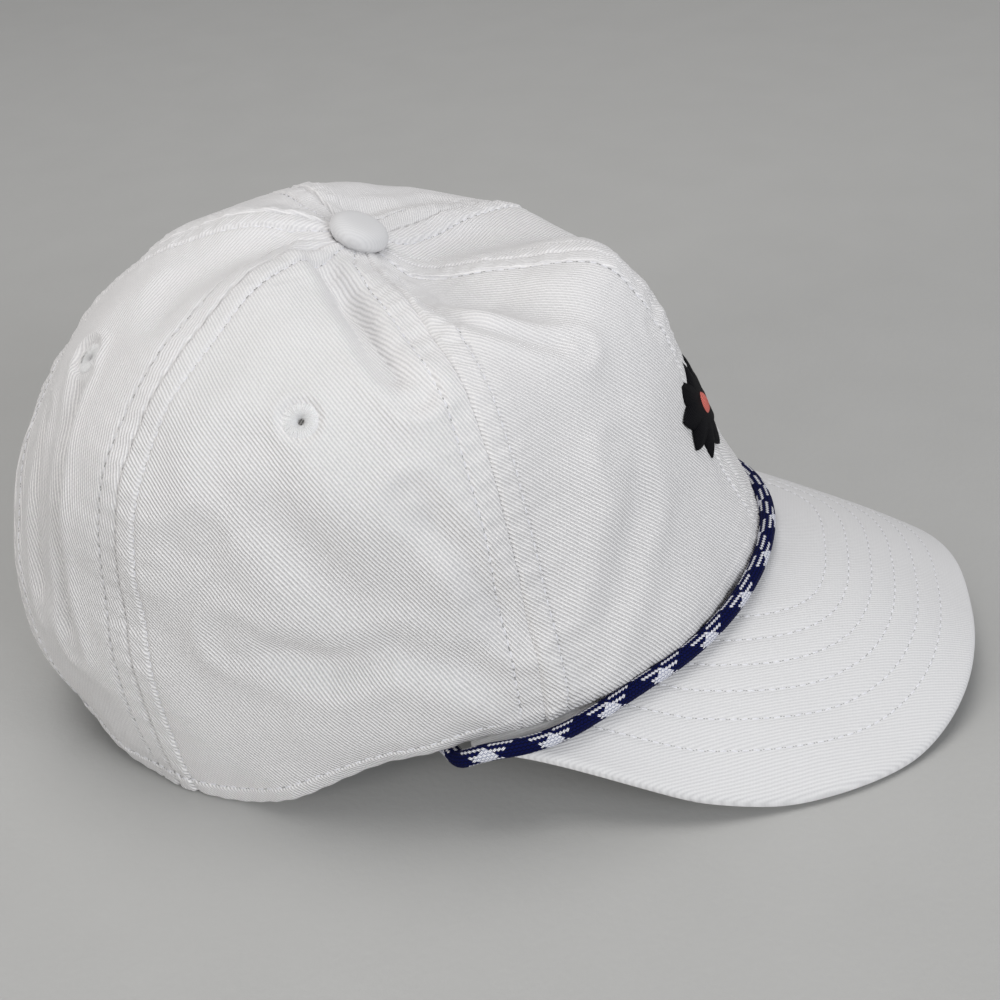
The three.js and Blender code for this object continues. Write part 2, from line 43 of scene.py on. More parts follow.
# Crown
CROWN_HEIGHT = 127.5
CROWN_HALF_WIDTH = 81.0
CROWN_FRONT = 107.0
CROWN_BACK = 99.0
CLOTH = 1.5
GAP = 0.3
TIP_RADIUS = 6.0
SETTLE = 1.2
SETTLE_BLEND = 1.0
SEAMS = [(0.0, 0.0), (61.5, -5.2), (126.0, 0.3), (180.0, 0.0)]     # angle and lean in degrees
ARCH_HALF_WIDTH = 45.0
ARCH_HEIGHT = 80.0
SECTIONS = np.array([
    [[0.965, 0.335], [0.926, 0.371], [0.771, 0.691], [0.649, 1.101], [0.193, 0.924]],
    [[0.995, 0.250], [1.010, 0.335], [0.799, 0.659], [0.653, 0.914], [0.260, 0.899]],
    [[1.025, 0.215], [1.110, 0.310], [0.962, 0.743], [0.762, 0.948], [0.385, 0.966]],
    [[0.975, 0.128], [1.073, 0.257], [1.034, 0.798], [0.724, 0.952], [0.428, 1.012]],
    [[1.005, -0.058], [1.076, 0.221], [1.066, 0.804], [0.662, 0.957], [0.360, 1.083]],
    [[1.010, 0.075], [1.165, 0.275], [1.035, 0.764], [0.599, 0.988], [0.190, 1.050]],
    [[0.985, 0.090], [1.060, 0.270], [0.985, 0.638], [0.596, 1.047], [0.130, 1.105]],
])
FOLD_DEPTH = 2.6
FOLD_WIDTH = 9.0
FOLDS = [      # from (degrees, share) to (degrees, share), depth, width
    ((-106, 0.89), (-82, 0.81), 0.7, 1.0), ((-82, 0.81), (-70, 0.68), 1.0, 1.0),
    ((-62, 0.79), (-42, 0.675), -0.6, 0.9), ((-42, 0.675), (-29, 0.55), -0.6, 0.9),
    ((-38, 0.82), (-27, 0.65), 0.8, 1.3), ((-94, 0.263), (-60, 0.258), 0.7, 1.2),
    ((-105, 0.395), (-80, 0.325), 0.5, 1.1), ((-148, 0.43), (-146, 0.28), 0.9, 0.9),
    ((-147, 0.82), (-148, 0.64), 0.7, 0.9), ((38, 0.82), (27, 0.65), 0.7, 1.3),
    ((106, 0.88), (72, 0.70), 0.8, 1.1), ((60, 0.27), (98, 0.26), 0.6, 1.2),
    ((147, 0.43), (143, 0.28), 0.7, 1.0),
]

CREASES = [    # run of (degrees, share), depth and width in mm
    (((-115, 0.90), (-97.5, 0.87), (-86, 0.835), (-79.5, 0.755), (-76, 0.67), (-73, 0.605), (-69, 0.56)), 3.0, 3.3),
    (((-50.5, 0.855), (-53, 0.755), (-50, 0.70), (-45.5, 0.66), (-40, 0.63), (-28.5, 0.555)), 1.5, 2.6),
    (((-7, 0.485), (0, 0.495), (7, 0.485)), 0.9, 2.2),
    (((-150, 0.50), (-143.5, 0.41), (-141.5, 0.36), (-139, 0.22)), 1.7, 2.6),
    (((-157, 0.44), (-151, 0.355), (-147, 0.24)), 1.1, 2.2),
    (((-73.5, 0.41), (-66.5, 0.35), (-62, 0.29), (-60, 0.25)), 1.9, 3.6),
    (((-106, 0.275), (-90.5, 0.245), (-79.5, 0.255), (-69, 0.225), (-60, 0.15)), 2.2, 4.6),
    (((-103, 0.45), (-93, 0.365), (-85.5, 0.315), (-78, 0.29)), 1.9, 6.5),
    (((-119, 0.345), (-110, 0.37)), 1.0, 4.0),
    (((-150, 0.64), (-140, 0.60), (-133, 0.62)), 0.6, 4.0),
    (((-30, 0.40), (-31, 0.345), (-37, 0.31), (-43, 0.25), (-49, 0.19)), 1.5, 4.6),
    (((104, 0.88), (88, 0.86), (76, 0.80), (71, 0.70)), 1.0, 2.8),
    (((150, 0.43), (143, 0.38), (141, 0.31)), 0.7, 2.0),
    (((70, 0.36), (62, 0.30), (57, 0.24)), 0.8, 4.2),
    (((120, 0.33), (108, 0.26), (96, 0.27)), 0.7, 4.4),
    (((44, 0.45), (34, 0.37), (31, 0.27)), 0.6, 5.0),
]
DIPS = [
    (((0, 0.92), (0, 0.66)), 2.3, 11.0),
]

# Peak
PEAK_TIP_REACH = 164.0
PEAK_CORNER_REACH = 22.0
PEAK_HALF_WIDTH = 84.8
PEAK_CORNER_ANGLE = 68.5
PEAK_THICKNESS = 3.0
PEAK_CROWN = 2.8
PEAK_TIP_HEIGHT = 11.5
PEAK_CORNER_WIDTH = 3.4
PEAK_LENGTH_POWER = 0.64
PEAK_WIDTH_POWER = 0.79
PEAK_EDGE_HEIGHTS = [1.0, 0.45, -0.26, -0.02, 1.65]
PEAK_ROW_FIRST = 9.5         # edge to the first stitch row
PEAK_ROW_PITCH = 6.35
PEAK_ROW_COUNT = 6

# Rope
ROPE_RADIUS = 2.25
ROPE_GAP = 0.6
ROPE_STRAY = 3.3
ROPE_STRAY_ANGLE = 39.0
ROPE_FAR_ANGLE = 61.0
ROPE_RETURN = 0.3
ROPE_OVERRUN = 4.8
ROPE_TUCK = 6.5
ROPE_DROP = 0.1
BRAID_CARRIERS = 16          # in each direction, of two yarns each
BRAID_WHITE = 6             # of them
BRAID_PITCH = 16.7           # rope length of one turn of a carrier
BRAID_TURN = math.radians(-62.5)     # where the carriers are counted from, round the rope
BRAID_START = 3.3            # along the rope, in mm

# Sewing
SEAM_ROW = 6.0               # seam to the stitch row beside it
HEM_ROW = 5.6                # hem to its stitch row
ARCH_ROWS = (1.8, 8.4)       # edge of the opening to its two rows
STITCH_PITCH = 3.0
TWILL_PERIOD = 0.87
GRAIN = [50.0, 50.0, 61.0]   # fall of the wales to the right on the front, side and back panels, in degrees
EYELET_SHARE = 0.515
EYELET_RADIUS = 4.5
EYELET_HOLE = 0.8
BUTTON_RADIUS = 8.0
BUTTON_HEIGHT = 4.6

# Emblem
EMBLEM_SHARE = 0.35
EMBLEM_HALF_WIDTH = 18.0
EMBLEM_HALF_HEIGHT = 14.5
EMBLEM_RAYS = 10
RAY_LENGTH = 4.5
DOT_RADIUS = 3.2


def smooth(x, low, high):
    t = np.clip((np.asarray(x, float) - low) / (high - low), 0, 1)
    return t * t * (3 - 2 * t)


def unit(v):
    return v / np.maximum(np.linalg.norm(v, axis=-1, keepdims=True), 1e-9)


def spline_weights(f):
    return np.stack([
        (1 - f) ** 3 / 6,
        (3 * f ** 3 - 6 * f ** 2 + 4) / 6,
        (-3 * f ** 3 + 3 * f ** 2 + 3 * f + 1) / 6,
        f ** 3 / 6,
    ], -1)


def rest_on_table(z):
    low = (np.clip(z, -SETTLE_BLEND, SETTLE_BLEND) + SETTLE_BLEND) ** 2 / (4 * SETTLE_BLEND)
    return np.where(z >= SETTLE_BLEND, z, low)


def crown(degrees, share):
    """Points of the crown's smooth outer surface, in mm from the button axis."""
    degrees, share = np.broadcast_arrays(np.asarray(degrees, float), np.asarray(share, float))
    last = len(SECTIONS) - 1
    place = np.abs(degrees) / 180 * last
    first = np.floor(place).astype(int)
    turn = (first[..., None] + np.arange(-1, 3)) % (2 * last)
    rows = np.where(turn <= last, turn, 2 * last - turn)
    controls = np.einsum("...k,...kcx->...cx", spline_weights(place - first), SECTIONS[rows])
    apex = np.broadcast_to(np.array([0.0, 1.0]), controls.shape[:-2] + (1, 2))
    controls = np.concatenate([controls, apex], -2)
    run = np.concatenate([
        2 * controls[..., :1, :] - controls[..., 1:2, :],
        controls,
        2 * controls[..., -1:, :] - controls[..., -2:-1, :],
    ], -2)
    spans = controls.shape[-2] - 1
    place = np.clip(share, 0, 1) * spans
    first = np.minimum(np.floor(place).astype(int), spans - 1)
    picks = np.take_along_axis(run, (first[..., None] + np.arange(4))[..., None], -2)
    point = np.einsum("...k,...kx->...x", spline_weights(place - first), picks)
    angle = np.radians(degrees)
    depth = np.where(np.cos(angle) > 0, CROWN_FRONT, CROWN_BACK)
    reach = point[..., 0] / np.hypot(np.sin(angle) / CROWN_HALF_WIDTH, np.cos(angle) / depth)
    height = rest_on_table(point[..., 1] * CROWN_HEIGHT - SETTLE)
    return np.stack([reach * np.sin(angle), -reach * np.cos(angle), height], -1)


def crown_normal(degrees, share):
    degrees, share = np.broadcast_arrays(np.asarray(degrees, float), np.asarray(share, float))
    low = np.clip(share - 0.01, 0, 0.98)
    along = crown(degrees, low + 0.02) - crown(degrees, low)
    across = crown(degrees + 1, share) - crown(degrees - 1, share)
    return unit(np.cross(across, along))


FOLD_PATHS = [
    crown(np.linspace(a[0], b[0], 7), np.linspace(a[1], b[1], 7)) for a, b, _, _ in FOLDS
]


def path_distance(points, path):
    """Distance of each point to a run of straight pieces."""
    best = np.full(points.shape[:-1], 1e9)
    for a, b in zip(path[:-1], path[1:]):
        t = np.clip((points - a) @ (b - a) / max((b - a) @ (b - a), 1e-9), 0, 1)
        best = np.minimum(best, np.linalg.norm(points - a - t[..., None] * (b - a), axis=-1))
    return best


def fold_at(points):
    total = np.zeros(points.shape[:-1])
    for (_, _, deep, wide), path in zip(FOLDS, FOLD_PATHS):
        total += deep * np.exp(-(path_distance(points, path) / (wide * FOLD_WIDTH)) ** 2)
    return total * FOLD_DEPTH


def run_of(spots):
    """Points of the crown along a run of (degrees, share)."""
    spots = np.array(spots, float)
    at = np.linspace(0, len(spots) - 1, 5 * (len(spots) - 1) + 1)
    return crown(np.interp(at, np.arange(len(spots)), spots[:, 0]), np.interp(at, np.arange(len(spots)), spots[:, 1]))


def crease_relief(points):
    """Sharper creases of the cloth, each a valley with a low ridge on either side."""
    total = np.zeros(points.shape[:-1])
    for spots, deep, wide in CREASES:
        run = run_of(spots)
        d = path_distance(points, run)
        ends = np.minimum(np.linalg.norm(points - run[0], axis=-1), np.linalg.norm(points - run[-1], axis=-1))
        valley = 0.45 * np.exp(-((d - 2 * wide) / wide) ** 2) - np.exp(-(d / wide) ** 2)
        total += deep * valley * smooth(ends, 0, 2.5 * wide)
    for spots, deep, wide in DIPS:
        total -= deep * np.exp(-(path_distance(points, run_of(spots)) / wide) ** 2)
    return total


def wall(degrees, share, rise=0.0):
    """Points at a rise over the folded outer surface of the crown."""
    point = crown(degrees, share)
    normal = crown_normal(degrees, share)
    return point + normal * (np.asarray(rise) - fold_at(point))[..., None]


def arc_table(degrees, share):
    """Length along a column of points, from its first one."""
    points = crown(degrees, share)
    steps = np.linalg.norm(np.diff(points, axis=0), axis=-1)
    return np.concatenate([[0.0], np.cumsum(steps)])


def share_at_height(degrees, height):
    share = np.linspace(0, 1, 201)
    return float(np.interp(height, arc_table(np.full(201, degrees), share), share))


def share_at_radius(degrees, radius):
    share = np.linspace(0.7, 1, 400)
    points = crown(np.full(400, degrees), share)
    return float(np.interp(-radius, -np.hypot(points[:, 0], points[:, 1]), share))


HEM_BACK = float(crown(180.0, 0.0)[1])
ARCH_ANGLE = math.degrees(ARCH_HALF_WIDTH / HEM_BACK)
ARCH_SHARE = share_at_height(180.0, ARCH_HEIGHT)


def seam_angle(seam, share):
    return SEAMS[seam][0] + SEAMS[seam][1] * (1 - share)


# Meshes

def make_mesh(name, points, faces, material, uv=None, replaces=(), smooth_faces=True):
    """A piece from points in mm round the button axis; uv holds one pair for each point."""
    mesh = bpy.data.meshes.new(name)
    mesh.from_pydata(((np.asarray(points) + ORIGIN) / 1000).tolist(), [], [list(map(int, f)) for f in faces])
    if uv is not None:
        layer = mesh.uv_layers.new(name="weave")
        loops = np.zeros(len(mesh.loops), int)
        mesh.loops.foreach_get("vertex_index", loops)
        layer.data.foreach_set("uv", np.asarray(uv, np.float32)[loops].ravel())
    mesh.polygons.foreach_set("use_smooth", [smooth_faces] * len(mesh.polygons))
    mesh.update()
    piece = bpy.data.objects.new(name, mesh)
    bpy.context.scene.collection.objects.link(piece)
    for m in material if isinstance(material, list) else [material]:
        mesh.materials.append(m)
    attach(piece, "root")
    if replaces:
        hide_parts(*replaces)
    return piece


def grid_faces(rows, columns, start=0, flip=False, keep=None):
    """Quads of a grid of points, row by row."""
    i, j = np.meshgrid(np.arange(rows - 1), np.arange(columns - 1), indexing="ij")
    a = (start + i * columns + j).ravel()
    faces = np.stack([a, a + 1, a + columns + 1, a + columns], -1)
    if keep is not None:
        faces = faces[keep.ravel()]
    return faces[:, ::-1] if flip else faces


def slab(outer, inner, keep=None):
    """Points and faces of a closed slab between two grids of the same counts; outer faces +."""
    rows, columns = outer.shape[:2]
    count = rows * columns
    points = np.concatenate([outer.reshape(-1, 3), inner.reshape(-1, 3)])
    faces = [grid_faces(rows, columns, 0, False, keep), grid_faces(rows, columns, count, True, keep)]
    loop = [(0, j) for j in range(columns)] + [(i, columns - 1) for i in range(1, rows)]
    loop += [(rows - 1, j) for j in range(columns - 2, -1, -1)] + [(i, 0) for i in range(rows - 2, 0, -1)]
    ring = np.array([i * columns + j for i, j in loop])
    after = np.roll(ring, -1)
    faces.append(np.stack([after, ring, ring + count, after + count], -1))
    return points, np.concatenate(faces)


def resample(path, normals, pitch):
    """Points and normals at even steps along a path."""
    steps = np.linalg.norm(np.diff(path, axis=0), axis=-1)
    along = np.concatenate([[0.0], np.cumsum(steps)])
    count = max(2, int(along[-1] / pitch))
    at = (np.arange(count) + 0.5) * along[-1] / count
    point = np.stack([np.interp(at, along, path[:, k]) for k in range(3)], -1)
    normal = unit(np.stack([np.interp(at, along, normals[:, k]) for k in range(3)], -1))
    return point, normal


class Sewing:
    """Stitches, and grey discs of painted shade for their needle holes and stitch ends, gathered into one mesh."""

    def __init__(self):
        self.points, self.faces, self.holes, self.count = [], [], [], 0
        self.hole_shade_faces = []

    def row(self, path, normals, pitch=STITCH_PITCH, length=0.70, radius=0.25, sink=0.1, hole_shade_radius=0.24):
        centre, normal = resample(path, normals, pitch)
        tangent = unit(np.gradient(centre, axis=0))
        side = unit(np.cross(normal, tangent))
        rng = np.random.default_rng(len(self.points) + 7)
        for c, n, t, s in zip(centre, normal, tangent, side):
            yaw = rng.normal(0, 0.06)
            t2, s2 = t + yaw * s, s - yaw * t
            half = pitch * length / 2 * (1 + rng.normal(0, 0.04))
            rings = []
            for f, scale, lift in ((-1, 0.45, -0.9), (-0.72, 0.9, -0.15), (0, 1, 0.12), (0.72, 0.9, -0.15), (1, 0.45, -0.9)):
                middle = c + t2 * half * f + n * (radius * (0.3 + lift) - sink)
                for k in range(6):
                    turn = k * math.pi / 3
                    rings.append(middle + radius * scale * (s2 * math.cos(turn) + 0.8 * n * math.sin(turn)))
            base = self.count
            self.points.extend(rings)
            for r in range(4):
                for k in range(6):
                    a, b = base + r * 6 + k, base + r * 6 + (k + 1) % 6
                    self.faces.append((a, b, b + 6, a + 6))
            self.faces.append(tuple(base + k for k in range(5, -1, -1)))
            self.faces.append(tuple(base + 24 + k for k in range(6)))
            self.count += 30
            # At each end of a stitch a grey disc lies on the cloth: painted shade for the needle hole and the shadow
            # at the stitch's end.
            for f in (-1, 1):
                spot = c + t2 * half * f * 1.10
                base = self.count
                self.points.append(spot + n * 0.10)
                for k in range(6):
                    turn = k * math.pi / 3
                    around = 0.85 * s2 * math.cos(turn) + 1.5 * t2 * math.sin(turn)
                    self.points.append(spot + hole_shade_radius * around - n * 0.02)
                for k in range(6):
                    self.hole_shade_faces.append((base, base + 1 + k, base + 1 + (k + 1) % 6))
                self.count += 7

    def build(self, name, materials):
        piece = make_mesh(name, np.array(self.points), self.faces + self.hole_shade_faces, materials)
        index = [0] * len(self.faces) + [1] * len(self.hole_shade_faces)
        piece.data.polygons.foreach_set("material_index", index)
        return piece


# Materials

class Nodes:
    """A short way to write a material's nodes."""

    def __init__(self, name):
        self.material = bpy.data.materials.new(name)
        self.material.use_nodes = True
        self.tree = self.material.node_tree
        self.shader = self.tree.nodes["Principled BSDF"]

    def node(self, kind, values=None, **links):
        n = self.tree.nodes.new(kind)
        for key, value in (values or {}).items():
            if hasattr(n, key):
                setattr(n, key, value)
            else:
                n.inputs[key].default_value = value
        for key, source in links.items():
            self.tree.links.new(source, n.inputs[key.replace("_", " ")])
        return n

    def math(self, operation, a, b=0.0, c=0.0):
        n = self.tree.nodes.new("ShaderNodeMath")
        n.operation = operation
        for socket, value in zip(n.inputs, (a, b, c)):
            if isinstance(value, (int, float)):
                socket.default_value = value
            else:
                self.tree.links.new(value, socket)
        return n.outputs[0]

    def uv(self):
        n = self.tree.nodes.new("ShaderNodeUVMap")
        n.uv_map = "weave"
        split = self.tree.nodes.new("ShaderNodeSeparateXYZ")
        self.tree.links.new(n.outputs[0], split.inputs[0])
        return split.outputs[0], split.outputs[1]

    def place(self):
        return self.node("ShaderNodeNewGeometry").outputs["Position"]

    def noise(self, scale, detail=3.0, rough=0.5, vector=None):
        n = self.node("ShaderNodeTexNoise", {"Scale": scale, "Detail": detail, "Roughness": rough})
        self.tree.links.new(vector or self.place(), n.inputs["Vector"])
        return n.outputs["Fac"]

    def mix(self, factor, a, b):
        n = self.tree.nodes.new("ShaderNodeMix")
        n.data_type = "RGBA"
        for socket, value in ((n.inputs[0], factor), (n.inputs[6], a), (n.inputs[7], b)):
            if isinstance(value, (int, float)):
                socket.default_value = value
            elif isinstance(value, tuple):
                socket.default_value = (*value, 1)
            else:
                self.tree.links.new(value, socket)
        return n.outputs[2]

    def finish(self, colour, roughness, height=None, distance=0.0002, strength=1.0, sheen=0.0, specular=0.3):
        self.tree.links.new(colour, self.shader.inputs["Base Color"])
        self.shader.inputs["Roughness"].default_value = roughness
        self.shader.inputs["Specular IOR Level"].default_value = specular
        if sheen:
            self.shader.inputs["Sheen Weight"].default_value = sheen
            self.shader.inputs["Sheen Roughness"].default_value = 0.5
        if height is not None:
            bump = self.node("ShaderNodeBump", {"Strength": strength, "Distance": distance}, Height=height)
            self.tree.links.new(bump.outputs[0], self.shader.inputs["Normal"])
        return self.material


def twill(name, period=TWILL_PERIOD, light=(0.93, 0.92, 0.915), dark=(0.64, 0.635, 0.645), relief=0.00034):
    """White cotton twill: the wales run along the second coordinate, each made of short floats; their grooves take the
    darker colour as painted shade.
    """
    m = Nodes(name)
    u, v = m.uv()
    phase = m.math("MULTIPLY", u, 1 / period)
    phase = m.math("ADD", phase, m.math("MULTIPLY", m.noise(420.0, 2.0), 0.30))
    phase = m.math("ADD", phase, m.math("MULTIPLY", m.noise(60.0, 2.0), 0.40))
    wale = m.math("MULTIPLY_ADD", m.math("SINE", m.math("MULTIPLY", phase, 2 * math.pi)), 0.5, 0.5)
    wale = m.math("POWER", wale, 0.75)
    along = m.math("MULTIPLY", v, 1 / (period * 1.25))
    along = m.math("ADD", along, m.math("MULTIPLY", m.math("FLOOR", phase), 0.37))
    floats = m.math("SINE", m.math("MULTIPLY", along, 2 * math.pi))
    height = m.math("MULTIPLY_ADD", floats, 0.10, wale)
    height = m.math("ADD", height, m.math("MULTIPLY", m.noise(2600.0, 2.0), 0.45))
    # Towards the top the weave's colour is drawn to a darker mid tone with less contrast, and its relief flattens:
    # painted shade for how the light lies along the cloth there, though the cloth is the same.
    up = m.node("ShaderNodeSeparateXYZ", Vector=m.place()).outputs[2]
    painted_light_fade = m.node("ShaderNodeMapRange", {"From Min": 0.08, "From Max": 0.128, "To Min": 1.0, "To Max": 0.42}, Value=up)
    # Where the weave lies low the colour goes to the dark tone: painted shade in the grooves between the wales.
    groove_shade_mix = m.math("MULTIPLY_ADD", height, 0.85, -0.15)
    groove_shade_mix.node.use_clamp = True
    groove_shade_mix = m.math("MULTIPLY_ADD", m.math("SUBTRACT", groove_shade_mix, 0.25), painted_light_fade.outputs[0], 0.25)
    height = m.math("MULTIPLY", height, painted_light_fade.outputs[0])
    colour = m.mix(groove_shade_mix, dark, light)
    cloud = m.noise(14.0, 3.0)
    colour = m.mix(m.math("MULTIPLY", cloud, 0.14), colour, (0.80, 0.76, 0.72))
    return m.finish(colour, 0.92, height, relief, 1.0, sheen=0.1, specular=0.15)


def thread_material(name, light, dark, relief=0.00006, rough=0.7):
    m = Nodes(name)
    ply = m.noise(3200.0, 2.0)
    colour = m.mix(ply, dark, light)
    return m.finish(colour, rough, ply, relief, 1.0, sheen=0.1)


# Grey for the needle holes: painted shade, since each is a flat disc on the cloth.
def hole_shade_material(name):
    m = Nodes(name)
    colour = m.mix(m.noise(900.0, 2.0), (0.28, 0.28, 0.28), (0.42, 0.42, 0.42))
    return m.finish(colour, 0.95, m.noise(2500.0, 2.0), 0.00005)


TWILL = twill("white_twill")
# The peak and the button take a darker copy of the same white twill: painted shade, holding down their upward faces
# under the lamp from above.
SHADED_TWILL = twill("shaded_twill", 0.68, (0.71, 0.71, 0.715), (0.59, 0.59, 0.60), 0.00008)
THREAD = thread_material("white_thread", (0.84, 0.84, 0.86), (0.66, 0.66, 0.70))
HOLE_SHADE = hole_shade_material("needle_hole_shade")


# Crown panels

NEAR = np.array([0.0, 0.14, 0.34, 0.62, 0.95, 1.5, 2.3, 3.2, 4.1, 4.8, 5.25, 5.55, 5.8, 6.0, 6.2, 6.5, 7.0, 7.8, 9.0])
HEM = np.array([0.0, 0.18, 0.45, 0.85, 1.4, 2.1, 3.0, 4.0, 4.8, 5.15, 5.4, 5.6, 5.8, 6.1, 6.6, 7.4, 8.2, 8.9, 9.6, 10.6])
MIDDLE_COLUMNS = 76
UPPER_ROWS = 165

EYELETS = {}
for panel in (1, 2):
    for side, sign in (("right", -1), ("left", 1)):
        angle = sign * (seam_angle(panel, EYELET_SHARE) + seam_angle(panel + 1, EYELET_SHARE)) / 2
        EYELETS[(panel, sign)] = (
            wall(angle, EYELET_SHARE), crown_normal(angle, EYELET_SHARE), angle,
        )


def column_foot(panel, place):
    near, far = seam_angle(panel, 0), seam_angle(panel + 1, 0)
    if panel < 2:
        return near + (far - near) * place, np.zeros_like(place)
    hem_part = 1 / 3
    turn = (1 - place) / (1 - hem_part) * math.pi / 2
    on_hem = place <= hem_part
    degrees = np.where(on_hem, near + (180 - ARCH_ANGLE - near) * place / hem_part, 180 - ARCH_ANGLE * np.sin(turn))
    return degrees, np.where(on_hem, 0, ARCH_SHARE * np.cos(turn))


def arch_distance(degrees, share):
    """How far a point of the back lies from the edge of the opening, along the cloth."""
    across = np.radians(180 - np.abs(degrees)) * HEM_BACK
    rise = share * ARCH_HEIGHT / ARCH_SHARE
    level = np.hypot(across / ARCH_HALF_WIDTH, rise / ARCH_HEIGHT)
    slope = np.hypot(across / ARCH_HALF_WIDTH ** 2, rise / ARCH_HEIGHT ** 2) / np.maximum(level, 1e-6)
    return (level - 1) / np.maximum(slope, 1e-6)


def seam_relief(d, along, radius, swell):
    """Turned edge, seam allowance under the cloth, the dip along the stitch row and the puckers beside it."""
    puff = 1 + 1.3 * np.exp(-(radius / 34) ** 2)
    stitch = 0.5 + 0.5 * np.cos(2 * math.pi * along / STITCH_PITCH)
    relief = -0.22 * np.exp(-d / 0.30)
    band = smooth(d, 0.0, 1.1) * (1 - smooth(d, 5.2, 6.2))
    relief += puff * 0.38 * swell * band
    relief += puff * 0.16 * smooth(d, 6.0, 7.2) * np.exp(-np.maximum(d - 7, 0) / 5)
    relief -= (0.22 + 0.12 * stitch) * np.exp(-((d - SEAM_ROW) / 0.5) ** 2)
    relief += 0.09 * swell * band * np.cos(2 * math.pi * (along + 0.7 * d) / 3.4)
    ripple = np.sin(2 * math.pi * along / 5.3 + 2.2 * np.sin(along / 11.0)) + 0.6 * np.sin(2 * math.pi * along / 8.9 + 1.1)
    relief += 0.13 * ripple * (band + 0.7 * smooth(d, 6.2, 8) * np.exp(-np.maximum(d - 8, 0) / 5.5))
    return relief


def noise_field(points, size, seed):
    return np.array([noise.noise(Vector(p / size) + Vector((seed, seed * 2.3, 0))) for p in points.reshape(-1, 3)]).reshape(points.shape[:-1])


def weave_on(points, middle_degrees, fall):
    """Flat coordinates of the cloth in mm, across and along the wales."""
    middle, normal = crown(middle_degrees, 0.4), crown_normal(middle_degrees, 0.4)
    right_axis = unit(np.cross(np.array([0, 0, 1.0]), normal))
    away = points - middle
    flat = np.stack([away @ right_axis, away @ np.cross(normal, right_axis)], -1)
    reach = np.linalg.norm(flat, axis=-1)
    flat *= np.where(reach > 0.5, np.linalg.norm(away, axis=-1) / np.maximum(reach, 0.5), 1)[..., None]
    turn = math.radians(fall)
    across = flat[..., 0] * math.sin(turn) + flat[..., 1] * math.cos(turn)
    along = flat[..., 0] * math.cos(turn) - flat[..., 1] * math.sin(turn)
    return np.stack([across, along], -1)


def lay_on(tree, path, normals):
    """The nearest points of a surface to a path, with outward normals."""
    spots, turned = [], []
    for p, n in zip(path, normals):
        hit = tree.find_nearest(Vector(p))
        spots.append(np.array(hit[0]))
        turned.append(np.array(hit[1]) * (1 if np.dot(np.array(hit[1]), n) > 0 else -1))
    return np.array(spots), np.array(turned)


def surface_tree(grid):
    rows, columns = grid.shape[:2]
    return BVHTree.FromPolygons([Vector(p) for p in grid.reshape(-1, 3)], grid_faces(rows, columns).tolist())


sewing = Sewing()
PANEL_NAMES = ["panel_front", "panel_side", "panel_back"]

